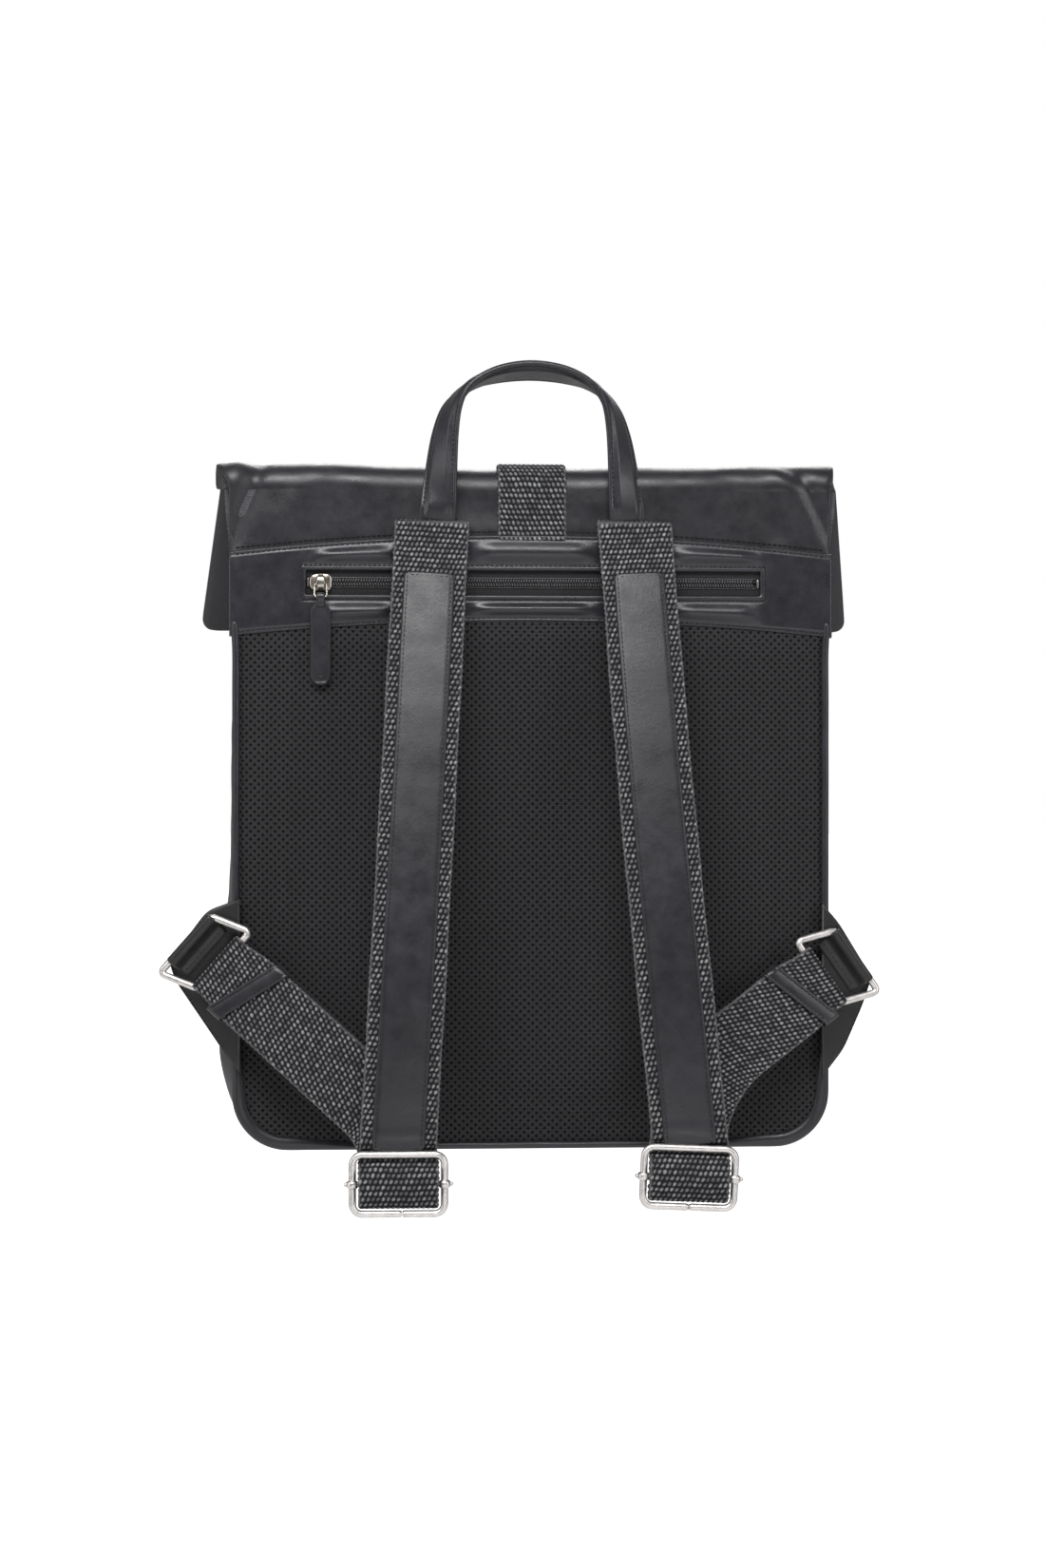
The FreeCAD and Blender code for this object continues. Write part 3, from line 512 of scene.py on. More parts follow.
def tube_ring(half, low, high, corner, pinch):
    """Closed ring in (across, depth), the low side first; corners stand out by pinch as a sewn edge."""
    points = []
    sides = [((-half, low), (half, low), TUBE_COLUMNS, -90.0),
             ((half, low), (half, high), TUBE_DEPTH, 0.0),
             ((half, high), (-half, high), TUBE_COLUMNS, 90.0),
             ((-half, high), (-half, low), TUBE_DEPTH, 180.0)]
    for start, end, count, facing in sides:
        start = np.array(start)
        end = np.array(end)
        way = unit(end - start)
        length = np.linalg.norm(end - start)
        for t in np.linspace(corner, length - corner, count):
            points.append(start + way * t)
        outward = np.array([math.cos(math.radians(facing)), math.sin(math.radians(facing))])
        middle = end - way * corner - outward * corner
        for i in range(1, TUBE_CORNER + 1):
            turn = math.radians(facing + 90.0 * i / (TUBE_CORNER + 1))
            share = i / (TUBE_CORNER + 1)
            reach = corner + pinch * (1 - abs(2 * share - 1)) ** 2
            points.append(middle + reach * np.array([math.cos(turn), math.sin(turn)]))
    return np.array(points)


def back_dent(x, s):
    """How far the collar leather sinks (+) or puffs (-) near its gathered corners; s rises up the back."""
    dent = np.zeros_like(x)
    folds = [((-167.0, -90.0), (-147.0, -44.0), 4.2, 3.0), ((-172.0, -80.0), (-160.0, -46.0), 4.5, -1.6),
             ((-140.0, -78.0), (-118.0, -56.0), 9.0, -1.4), ((167.0, -88.0), (150.0, -48.0), 4.5, 2.2),
             ((156.0, -78.0), (138.0, -52.0), 6.0, -1.2), ((135.0, -84.0), (112.0, -60.0), 7.0, 1.0),
             ((-60.0, -84.0), (60.0, -84.0), 7.0, -1.0), ((20.0, -72.0), (90.0, -56.0), 12.0, -1.0)]
    for (x0, s0), (x1, s1), wide, deep in folds:
        way = np.array([x1 - x0, s1 - s0])
        t = np.clip(((x - x0) * way[0] + (s - s0) * way[1]) / way.dot(way), 0, 1)
        gap = np.hypot(x - x0 - t * way[0], s - s0 - t * way[1])
        dent = dent + deep * np.exp(-(gap / wide) ** 2)
    return dent


def fold_rise(x):
    """The fold stands higher towards its ends than behind the handle."""
    return 2.3 * ease(np.abs(x + 3.0) / 150.0) + 0.35 * np.sin(x / 21.0) + 0.25 * np.sin(x / 9.0 + 1.0)


def body_half(z):
    """Half width of the body at a height."""
    if z > SHOULDER_Z:
        return BODY_HALF + (COLLAR_HALF - BODY_HALF) * ((z - SHOULDER_Z) / (HINGE_Z - SHOULDER_Z)) ** 1.5
    round_z = BOTTOM_Z + CORNER
    if z < round_z:
        return BODY_HALF - CORNER + math.sqrt(max(CORNER ** 2 - (round_z - z) ** 2, 0.0))
    return BODY_HALF


def body_depth(z):
    """Back and front of the body at a height."""
    slope = NECK_DEPTH + (HINGE_Z - z) * math.tan(SLOPE)
    front = min(slope, DEPTH)
    blend_width = 14.0
    gap = (DEPTH - slope) / blend_width
    if abs(gap) < 1:
        front = DEPTH - blend_width * (1 + gap) ** 2 / 4
    back = 0.0
    if z < BOTTOM_Z + 24.0:
        front -= 24.0 - math.sqrt(max(24.0 ** 2 - (BOTTOM_Z + 24.0 - z) ** 2, 0.0))
    if z < BOTTOM_Z + 12.0:
        back = 12.0 - math.sqrt(max(12.0 ** 2 - (BOTTOM_Z + 12.0 - z) ** 2, 0.0))
    return back, front


def body_ring(z, inset):
    """One ring of the body shell, pushed out by its filling and uneven like worn leather."""
    back, front = body_depth(z)
    thin = min(inset, 0.25) if z < -95.0 else inset
    corner = min(4.0, (front - back) / 3)
    ring = tube_ring(body_half(z) - inset, back + thin, front - inset, max(corner - inset * 0.5, 1.0),
                     0.9 if inset == 0 else 0.0)
    x = ring[:, 0]
    d = ring[:, 1]
    share = np.clip((d - back) / max(front - back, 1.0), 0, 1)
    low = ease((z - BOTTOM_Z) / 60.0)
    full = ease((HINGE_Z - 40.0 - z) / 120.0) * low
    wide = body_half(z)
    on_front = ease((share - 0.9) / 0.1)
    on_side = np.sin(np.pi * share) * ease((np.abs(x) - wide + 8.0) / 8.0)
    front_swell = 3.5 * full * (1 - (x / wide) ** 2) + 1.6 * low * ripple(x, np.full_like(x, z), 2.0)
    side_swell = (2.4 * full + 1.1 * low * ripple(d, np.full_like(d, z), 5.0)) * on_side
    belly = np.where(x < 0, 7.5, 3.0) * ease((-245.0 - z) / 100.0) * ease((z - BOTTOM_Z - 6.0) / 45.0)
    side_swell = side_swell + belly * on_side
    moved = np.stack([x + np.sign(x) * side_swell, d + on_front * front_swell * low], axis=1)
    if z > -100.0:
        on_back = ease((0.25 - share) / 0.25)
        fade = ease((z + 100.0) / 12.0)
        moved[:, 1] += on_back * fade * np.minimum(back_dent(x, np.full_like(x, z)), 3.0)
    return np.stack([moved[:, 0], moved[:, 1], np.full(len(ring), z)], axis=1)


def body_levels():
    """Heights of the body's rings, close together where it rounds into the bottom."""
    top = HINGE_Z - 0.02
    upper = np.linspace(top, -230.0, 76)
    lower = np.linspace(-233.0, BOTTOM_Z + 30.0, 50)
    turns = np.linspace(0.0, 1.0, 14)[1:]
    last = BOTTOM_Z + 30.0 - 29.99 * np.sin(turns * math.pi / 2)
    return np.concatenate([upper, lower, last])


def close_bottom(rings):
    """Flat bottom: the last ring drawn in to its middle."""
    last = rings[-1]
    middle = last.mean(axis=0)
    return rings + [middle + (last - middle) * share for share in (0.93, 0.75, 0.5, 0.25, 0.02)]


def shell(outer, inner, start_rim, end_rim, bottom=False):
    """Two nested stacks of rings as one skin, with rims at free edges or a closed bottom."""
    count = len(outer[0])
    points = np.concatenate(outer + inner)
    offset = len(outer) * count
    faces = grid_faces(len(outer), count, True, 0, True)
    faces += grid_faces(len(inner), count, True, offset, False)
    for j in range(count):
        k = (j + 1) % count
        if start_rim:
            faces.append((j, k, offset + k, offset + j))
        if end_rim:
            low = (len(outer) - 1) * count
            inside = offset + (len(inner) - 1) * count
            faces.append((low + k, low + j, inside + j, inside + k))
    if bottom:
        faces.append(tuple(range((len(outer) - 1) * count, len(outer) * count)))
        faces.append(tuple(reversed(range(offset + (len(inner) - 1) * count, offset + len(inner) * count))))
    return points, faces


def make_body():
    """Leather shell of the bag below the fold."""
    outer = close_bottom([body_ring(z, 0) for z in body_levels()])
    inner = close_bottom([body_ring(max(z, BOTTOM_Z + SKIN), SKIN) for z in body_levels()])
    points, faces = shell(outer, inner, False, False, bottom=True)
    per_ring = len(outer[0])
    flesh = [1 if min(f) >= len(outer) * per_ring else 0 for f in faces]
    piece = make_piece("body_shell", points, faces, [LEATHER_SKIN, LEATHER_FLESH], "bag", groups=flesh)
    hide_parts("front_panel", "gusset_left", "gusset_right", "bottom_panel", "collar_back")


def neck_ring(half, inset):
    """Ring of the flattened tube above the body, before it is bent over."""
    corner = max(4.0 - inset * 0.5, 1.0)
    return tube_ring(half - inset, inset, NECK_DEPTH - inset, corner, 0.0 if inset else 0.9)


def fold_ring(angle, inset):
    """One ring of the fold; angle runs from 180 on the back plane to 30 on the flap."""
    flare = ease((math.pi - angle) / math.radians(75.0))
    half = COLLAR_HALF + (TOP_HALF - COLLAR_HALF) * flare
    ring = neck_ring(half, inset)
    x = ring[:, 0]
    share = ring[:, 1] / NECK_DEPTH
    on_back = ease((0.25 - share) / 0.25)
    up = np.full_like(x, HINGE_Z + FOLD_RADIUS * (math.pi - angle))
    away = ease((angle - math.radians(40.0)) / math.radians(100.0))
    rise = fold_rise(x) * math.sin((angle - SLOPE) / (math.pi - SLOPE) * math.pi)
    radius = FOLD_RADIUS - ring[:, 1] + on_back * (rise - away * np.minimum(back_dent(x, up), 3.0))
    shift = -2.5 * math.sin((angle - SLOPE) / (math.pi - SLOPE) * math.pi)
    return np.stack([x + shift, HINGE_Y + radius * math.cos(angle),
                     HINGE_Z + radius * math.sin(angle)], axis=1)


def make_fold():
    """Leather bent over the top, between the back and the flap."""
    angles = np.linspace(math.pi, SLOPE, 34)
    outer = [fold_ring(a, 0) for a in angles]
    inner = [fold_ring(a, SKIN) for a in angles]
    piece = make_piece("top_fold_leather", *shell(outer, inner, False, False), LEATHER_SKIN)
    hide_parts("top_fold")
    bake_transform(piece)


def flap_place(x, t, r):
    """A point on the flap: across, down from the fold, and out from the hinge."""
    return np.stack(np.broadcast_arrays(x, HINGE_Y + t * math.sin(SLOPE) + r * math.cos(SLOPE),
                                        HINGE_Z - t * math.cos(SLOPE) + r * math.sin(SLOPE)), axis=-1)


def flap_ring(t, inset):
    """One ring of the hanging flap."""
    half = TOP_HALF + (FLAP_HALF - TOP_HALF) * t / FLAP_LENGTH
    near = max(t - FLAP_LENGTH + 7.0, 0.0)
    half -= 7.0 - math.sqrt(max(49.0 - near ** 2, 0.0)) if near > 0 else 0.0
    ring = neck_ring(half, inset)
    x = ring[:, 0]
    share = ring[:, 1] / NECK_DEPTH
    swell = ease(t / 25.0)
    wave = 1.0 * swell * ripple(x, np.full_like(x, t), 7.0)
    out = ease((0.3 - share) / 0.3) * (wave + 0.8 * swell * np.cos(x / 110.0))
    squeeze = ease((t - 62.0) / 29.0) * 2.2 * (share - 0.35)
    return flap_place(x, t, FOLD_RADIUS - ring[:, 1] + out + squeeze)


def make_flap():
    """Flattened leather tube hanging over the front, open along its lower end."""
    places = np.concatenate([np.linspace(0.0, 82.0, 34), np.linspace(84.0, FLAP_LENGTH, 10)])
    outer = [flap_ring(t, 0) for t in places]
    inner = [flap_ring(t, SKIN) for t in places]
    piece = make_piece("flap_leather", *shell(outer, inner, False, True), LEATHER_SKIN, "flap")
    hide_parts("flap_outer", "flap_inner")
    seam = [flap_surface(x, FLAP_LENGTH - 6.0) for x in np.linspace(-FLAP_HALF + 9.0, FLAP_HALF - 9.0, 60)]
    stitches = capsule_row(np.array(seam), [0.0, math.cos(SLOPE), math.sin(SLOPE)])
    thread = make_piece("flap_stitching", *stitches, THREAD, "flap")


def flap_surface(x, t):
    """Point on the flap's outer face."""
    swell = ease(t / 25.0)
    wave = 1.0 * swell * ripple(np.float64(x), np.float64(t), 7.0) + 0.8 * swell * math.cos(x / 110.0)
    squeeze = ease((t - 62.0) / 29.0) * 2.2 * -0.35
    return flap_place(x, t, FOLD_RADIUS + wave + squeeze + 0.05)


def make_body_seams():
    """Stitches along the side seams of the collar and the front."""
    parts = []
    for sign in (-1, 1):
        up = [(sign * (TOP_HALF - 3.2) - 2.4, -0.4, -47.5), (sign * (TOP_HALF - 4.2) - 1.5, -0.5, -55.0),
              (sign * (TOP_HALF - 5.5), -0.5, -66.0)]
        parts.append(capsule_row(smooth_path(up, 1.5), [0, -1, 0], lift=0.25))
    front = [body_ring(z, 0) for z in np.linspace(-240.0, BOTTOM_Z + 34.0, 40)]
    for first, shift in ((TUBE_COLUMNS + TUBE_CORNER + TUBE_DEPTH + TUBE_CORNER, 2),
                         (2 * TUBE_COLUMNS + 2 * TUBE_CORNER + TUBE_DEPTH - 1, -2)):
        line = np.array([ring[first + shift] for ring in front])
        parts.append(capsule_row(line, [0, 1, 0], lift=0.3))
    make_piece("body_stitching", *join_parts(parts), THREAD, "bag")


# Back panel: yoke with its padded ribs, perforated pad and binding

YOKE_HALF = 167.0
YOKE_SEAM = 2.2
WINDOW_HALF = 6.85


def yoke_top(x):
    """Height of the yoke's upper seam."""
    return -85.8 - 9.7 * (x / 165.0) ** 2


def yoke_bottom(x):
    """Height of the yoke's lower edge."""
    return -134.2 - 8.2 * (x / 165.0) ** 2


def rib(z, middle, half, height):
    """A padded rib's height above the yoke."""
    share = np.clip(np.abs(z - middle) / half, 0, 1)
    return height * (1 - share ** 2) ** 1.4


def yoke_face(x, z):
    """How far the yoke's face stands behind the back plane (negative y)."""
    part = np.zeros_like(x)
    for left, right in ((-124.0, -70.0), (-37.0, 39.5), (73.0, 132.0)):
        inside = ease((x - left) / 17.0) * ease((right - x) / 17.0)
        part = np.maximum(part, inside)
    top = yoke_top(x)
    low = yoke_bottom(x)
    upper = rib(z, (top - 3.6 + ZIP_Z + 11.0) / 2, np.maximum((top - 3.6 - ZIP_Z - 11.0) / 2, 1.0), 2.5)
    lower = rib(z, (low + 3.6 + ZIP_Z - 11.0) / 2, np.maximum((ZIP_Z - 11.0 - low - 3.6) / 2, 1.0), 2.5)
    height = 3.0 + (upper + lower) * part
    height = height + 0.25 * ripple(x, z, 3.0)
    in_window = (x > ZIP_LEFT - 4.5) & (x < ZIP_RIGHT + 4.5) & (np.abs(z - ZIP_Z) < 11.0)
    gap_x = np.maximum(np.maximum(ZIP_LEFT - x, x - ZIP_RIGHT), 0)
    gap_z = np.maximum(np.abs(z - ZIP_Z) - 7.2, 0)
    gap = np.hypot(gap_x, gap_z)
    lip = 0.8 * np.exp(-((gap - 0.9) / 1.0) ** 2) - 0.5 * np.exp(-((gap - 2.6) / 0.6) ** 2)
    height = height + np.where(in_window, lip, 0.0)
    for seam in (z - top + YOKE_SEAM, z - low - YOKE_SEAM):
        height = height - 0.55 * np.exp(-(seam / 0.7) ** 2)
    edge = np.minimum(top - z, z - low)
    roll = np.sqrt(np.clip(1 - (1 - np.clip(edge / 1.2, 0, 1)) ** 2, 0.05, 1))
    return -height * roll


def masked_panel(x, z, face_y, back_y, keep):
    """Solid panel over a grid; keep says which cells are there, and open edges get walls."""
    rows, columns = x.shape
    front = np.stack([x, face_y, z], axis=-1).reshape(-1, 3)
    behind = np.stack([x, np.full_like(x, back_y), z], axis=-1).reshape(-1, 3)
    points = np.concatenate([front, behind])
    offset = rows * columns
    faces = []

    def there(i, j):
        return 0 <= i < rows - 1 and 0 <= j < columns - 1 and keep[i, j]

    for i in range(rows - 1):
        for j in range(columns - 1):
            if not keep[i, j]:
                continue
            a, b = i * columns + j, i * columns + j + 1
            c, d = a + columns + 1, a + columns
            faces.append((a, b, c, d))
            faces.append((d + offset, c + offset, b + offset, a + offset))
            for shown, p, q in ((there(i - 1, j), a, b), (there(i, j + 1), b, c),
                                (there(i + 1, j), c, d), (there(i, j - 1), d, a)):
                if not shown:
                    faces.append((q, p, p + offset, q + offset))
    used = sorted({i for f in faces for i in f})
    renumber = {old: new for new, old in enumerate(used)}
    return points[used], [tuple(renumber[i] for i in f) for f in faces]


def make_yoke():
    """Yoke leather with the zip's window, padded ribs and seams."""
    zip_start, zip_end = ZIP_LEFT / YOKE_HALF, ZIP_RIGHT / YOKE_HALF
    columns = np.concatenate([np.linspace(-1, zip_start, 34), np.linspace(zip_start, zip_end, 170)[1:],
                              np.linspace(zip_end, 1, 33)[1:]])
    window_low = ZIP_Z - WINDOW_HALF
    window_high = ZIP_Z + WINDOW_HALF
    shares = np.concatenate([np.linspace(0, 1, 27), np.linspace(1, 2, 10)[1:], np.linspace(2, 3, 27)[1:]])
    x = np.broadcast_to(columns * YOKE_HALF, (len(shares), len(columns))).copy()
    heights = np.stack([yoke_bottom(x[0]), np.full(len(columns), window_low),
                        np.full(len(columns), window_high), yoke_top(x[0])])
    z = np.array([[np.interp(s, [0, 1, 2, 3], heights[:, j]) for j in range(len(columns))] for s in shares])
    row_middle = (shares[:-1] + shares[1:]) / 2
    column_middle = (columns[:-1] + columns[1:]) / 2 * YOKE_HALF
    beside_zip = (row_middle > 1) & (row_middle < 2)
    along_zip = (column_middle > ZIP_LEFT) & (column_middle < ZIP_RIGHT)
    keep = ~(beside_zip[:, None] & along_zip[None])
    points, faces = masked_panel(x, z, yoke_face(x, z) - 0.3, -0.3, keep)
    piece = make_piece("yoke_leather", points, faces, LEATHER_YOKE, "bag")
    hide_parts("back_yoke", "yoke_padding")
    parts = []
    across = np.linspace(-164.0, 164.0, 120)

    def on_yoke(xs, zs):
        return np.stack([xs, yoke_face(xs, zs) - 0.3, zs], axis=1)

    for seam in (yoke_top(across) - YOKE_SEAM, yoke_bottom(across) + YOKE_SEAM):
        parts.append(capsule_row(on_yoke(across, seam), [0, -1, 0], lift=0.2))
    collar = np.stack([across, np.full_like(across, -0.35), yoke_top(across) + 2.0], axis=1)
    collar[:, 1] += np.minimum(back_dent(across, collar[:, 2]), 3.0) * ease((collar[:, 2] + 100.0) / 12.0)
    parts.append(capsule_row(collar, [0, -1, 0], lift=0.3))
    off = 2.6
    left, right = ZIP_LEFT - off, ZIP_RIGHT + off
    low, high = window_low - off, window_high + off
    frame_x = np.concatenate([np.linspace(left, right, 90), np.full(12, right),
                              np.linspace(right, left, 90), np.full(12, left)])
    frame_z = np.concatenate([np.full(90, low), np.linspace(low, high, 12),
                              np.full(90, high), np.linspace(high, low, 12)])
    parts.append(capsule_row(on_yoke(frame_x, frame_z), [0, -1, 0], pitch=2.7, lift=0.2))
    make_piece("yoke_stitching", *join_parts(parts), THREAD, "bag")


def pad_outline(z, inset):
    """Half width of the pad at a height, rounded at its lower corners."""
    return body_half(max(z - inset, BOTTOM_Z + 0.05)) - inset


def pad_face(x, z):
    """Crowned face of the perforated pad (negative y)."""
    wide = 160.0
    tall = np.clip((z - BOTTOM_Z - 5.0) / 285.0, 0, 1)
    side = 1 - np.abs(x / wide) ** 5
    top_end = 0.75 + 0.25 * (1 - np.clip((tall - 0.86) / 0.14, 0, 1) ** 2)
    ends = (1 - (1 - np.clip(tall / 0.14, 0, 1)) ** 2) * top_end
    under_yoke = ease((yoke_bottom(x) + 2.0 - z) / 13.0)
    height = 2.4 + 4.1 * np.clip(side, 0, 1) * ends * under_yoke
    ends = ends * under_yoke
    return -(height + 0.35 * np.sin(x / 17.0 + 0.6) * ends + 0.3 * ripple(x, z, 4.0) * ends)


def make_pad():
    """Perforated knit over foam: every hole is a pit in the surface."""
    pitch = 4.5
    row = 2.16
    hole = 0.92
    depth = 1.7
    points = []
    index = {}
    faces = []
    groups = []

    def vertex(x, z, sink=0.0):
        key = (round(x * 50), round(z * 50), round(sink * 10))
        if key not in index:
            index[key] = len(points)
            points.append((x, z, sink))
        return index[key]

    top = -131.0
    rows = int((top - BOTTOM_Z) / row)
    for j in range(rows):
        z = top - j * row
        for i in range(-38, 39):
            x = (i + 0.5 * (j % 2)) * pitch
            limit = pad_outline(z - row, 2.6)
            if z - row < BOTTOM_Z + 2.4 or abs(x) + pitch / 2 > limit:
                continue
            a = vertex(x + pitch / 2, z)
            b = vertex(x, z + row)
            c = vertex(x - pitch / 2, z)
            d = vertex(x, z - row)
            h = [vertex(x + hole * math.cos(math.radians(k)), z + hole * math.sin(math.radians(k)), 0.05)
                 for k in range(0, 360, 60)]
            deep = vertex(x, z, depth)
            faces += [(a, b, h[1], h[0]), (b, h[2], h[1]), (b, c, h[3], h[2]),
                      (c, d, h[4], h[3]), (d, h[5], h[4]), (d, a, h[0], h[5])]
            groups += [0] * 6
            for k in range(6):
                faces.append((h[k], h[(k + 1) % 6], deep))
                groups.append(1)
    flat = np.array(points)
    edges = {edge: True for face in faces for edge in zip(face, face[1:] + face[:1])}
    rim = [(p, q) for p, q in edges if (q, p) not in edges]
    y = pad_face(flat[:, 0], flat[:, 1]) + flat[:, 2]
    placed = np.stack([flat[:, 0], y, flat[:, 1]], axis=1)
    count = len(placed)
    lower = placed.copy()
    lower[:, 1] = -0.6
    rim_ids = sorted({p for e in rim for p in e})
    low_id = {p: count + i for i, p in enumerate(rim_ids)}
    for p, q in rim:
        faces.append((q, p, low_id[p], low_id[q]))
        groups.append(0)
    placed = np.concatenate([placed, lower[rim_ids]])
    piece = make_piece("mesh_pad", placed, faces, [MESH_KNIT, PIT], "bag", groups=groups)
    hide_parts("back_mesh")


def make_foam():
    """Foam core that fills the pad under the knit."""
    x, z = np.meshgrid(np.linspace(-158.0, 158.0, 60), np.linspace(BOTTOM_Z + 9.0, -140.0, 60))
    face_y = np.minimum(pad_face(x, z) + 2.6, -0.9)
    middle_x = (x[:-1, :-1] + x[1:, 1:]) / 2
    middle_z = (z[:-1, :-1] + z[1:, 1:]) / 2
    limit = np.array([pad_outline(level, 7.0) for level in middle_z[:, 0]])
    keep = np.abs(middle_x) < limit[:, None] - 2.0
    piece = make_piece("back_foam_core", *masked_panel(x, z, face_y, -0.35, keep), FOAM, "bag")
    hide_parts("back_foam")


def make_binding():
    """Rolled leather edge round the pad, wider at the lower corners."""
    half = BODY_HALF
    route = [(-half - 0.9, -134.0), (-half, -150.0)]
    route += [(-half, z) for z in np.linspace(-170.0, BOTTOM_Z + 34.0, 14)]
    for turn in np.linspace(0, 90, 9):
        a = math.radians(180 + turn)
        route.append((-half + CORNER + CORNER * math.cos(a), BOTTOM_Z + CORNER + CORNER * math.sin(a)))
    route += [(x, BOTTOM_Z) for x in np.linspace(-half + 45, 0, 8)]
    route = np.array(route)
    mirrored = route[:-1][::-1] * np.array([-1, 1])
    route = np.concatenate([route, mirrored])
    path = smooth_path(np.stack([route[:, 0], np.zeros(len(route)), route[:, 1]], axis=1), 2.2)
    side, outward = frames_along(path, np.array([0.0, -1.0, 0.0]))
    corner = ease((BOTTOM_Z + 62.0 - path[:, 2]) / 40.0) * ease((np.abs(path[:, 0]) - 95.0) / 45.0)
    turns = np.linspace(0, math.pi, 13)
    profiles = []
    for i, share in enumerate(corner):
        width = 4.4 + 3.6 * share
        height = 3.9 + 0.3 * math.sin(i / 3.0)
        top = np.stack([0.2 + height * np.sin(turns) ** 0.7,
                        0.5 - width / 2 + width / 2 * np.cos(turns)], axis=1)
        profiles.append(np.concatenate([top, [[0.2, 0.5 - width * 0.6], [0.2, 0.5 - width * 0.3]]]))
    sign = -1.0 if outward[10].dot([1.0, 0, 0]) > 0 else 1.0
    profiles = np.array(profiles)
    profiles[..., 1] *= sign
    piece = make_piece("back_binding_leather", *band(path, side, outward, profiles), LEATHER_SKIN, "bag")
    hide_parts("back_binding")


make_body()
make_fold()
make_flap()
make_body_seams()
make_yoke()
make_pad()
make_foam()
make_binding()


# Shoulder straps

STRAP_TOP = (-79.8, -5.0)
STRAP_BOW = 59.0
FRAME_SIZE = (48.9, 31.4)
WIRE = 2.0
RING_LENGTH = 41.5
RING_SKEW = 8.0
RING_REACH = 22.0
RING_BEND = 3.4
OVERLAY_HALF = 14.0
CLOSING_WIDTH = 38.0
TAB_WIRE_Y = -10.0
SIDES = {
    "left": {
        "top_x": -55.5, "drift": 0.0, "adjuster": (-75.1, -436.0), "tab_bar": (-188.0, -308.4),
        "inward": 1.0, "fall": 41.5, "tilt": 0.0, "keeper_at": 22.0, "keeper_skew": 17.0, "seed": 11,
        "tab": [(-161.0, -286.4), (-179.0, -293.0), (-200.0, -321.0), (-196.0, -332.0),
                (-171.0, -369.0), (-161.0, -382.5)],
    },
    "right": {
        "top_x": 56.6, "drift": -2.6, "adjuster": (79.9, -433.7), "tab_bar": (177.6, -318.4),
        "inward": -1.0, "fall": 35.0, "tilt": -2.5, "keeper_at": 17.0, "keeper_skew": 18.0, "seed": 29,
        "tab": [(161.0, -290.0), (170.0, -300.0), (189.0, -331.0), (184.0, -346.0),
                (173.0, -371.0), (161.0, -386.5)],
    },
}


def strap_point(side, share):
    """Middle of a shoulder strap; share runs from its seam to just above the adjuster."""
    bottom_x, bottom_z = side["adjuster"]
    end_z = bottom_z + FRAME_SIZE[1] / 2 + 8
    x = side["top_x"] + (bottom_x - side["top_x"]) * share + side["drift"] * math.sin(share * math.pi)
    y = STRAP_TOP[1] - STRAP_BOW * math.sin(share * math.pi / 2)
    return np.array([x, y, STRAP_TOP[0] + (end_z - STRAP_TOP[0]) * share])


def adjuster_axes(side):
    """Middle, across, up and outward directions of an adjuster."""
    tilt = math.radians(side["tilt"])
    across = np.array([math.cos(tilt), 0, math.sin(tilt)])
    up = np.array([-math.sin(tilt), 0, math.cos(tilt)])
    middle = np.array([side["adjuster"][0], STRAP_TOP[1] - STRAP_BOW, side["adjuster"][1]])
    return middle, across, up, np.array([0.0, -1.0, 0.0])


def woven_band(name, path, across, seed, body=None, width=WEB_WIDTH, fold_ends=(), rows_from=0.0, wide=None):
    """Webbing along an evenly stepped path: bumps of yarn on both faces and uneven selvedges.

    across is one way or one for each point, and wide the share of the width at each point.
    """
    side, outward = frames_along(path, across)
    half = width / 2
    x = np.linspace(-half, half, int(width / YARN_COLUMN) | 1)
    both_x = np.concatenate([x, x[::-1][1:-1]])
    edge = np.clip((half - np.abs(x)) / 0.9, 0, 1)
    roll = np.sqrt(1 - (1 - edge) ** 2 * 0.95)
    rim = np.clip((np.abs(both_x) - half + 1.5) / 0.8, 0, 1)
    fray = np.convolve(grain(len(path) + 8, seed), [0.25, 0.5, 0.25], "same")
    if wide is None:
        wide = np.ones(len(path))
    profiles = []
    weave = []
    for i, s in enumerate(along(path)):
        row = (s + rows_from) / YARN_ROW
        in_row = row - math.floor(row) - 0.5
        cell = x / YARN_PITCH + 0.5 * (math.floor(row) % 2) + 0.35 * in_row
        bead = np.maximum(1 - ((cell - np.floor(cell) - 0.5) / 0.5) ** 2 - (in_row / 0.5) ** 2, 0) ** 0.5
        top = (WEB_THICK / 2 - 0.25) * roll + 0.5 * bead * (edge > 0.5)
        jag = 0.55 * (fray[i] - 0.5) + 0.3 * math.sin(s * 2.1)
        xs = x * wide[i] + np.sign(x) * np.where(edge < 0.4, jag, 0.0)
        profiles.append(two_faced(xs, top, -top))
        ends = max([float(np.clip(1 - abs(s - place) / 1.6, 0, 1)) for place in fold_ends] or [0.0])
        weave.append(np.stack([both_x, np.full(len(both_x), s + rows_from), np.maximum(rim, ends)], 1))
    points, faces = band(path, side, outward, np.array(profiles))
    piece = make_piece(name, points, faces, WEBBING, body, weave=np.concatenate(weave))
    return piece


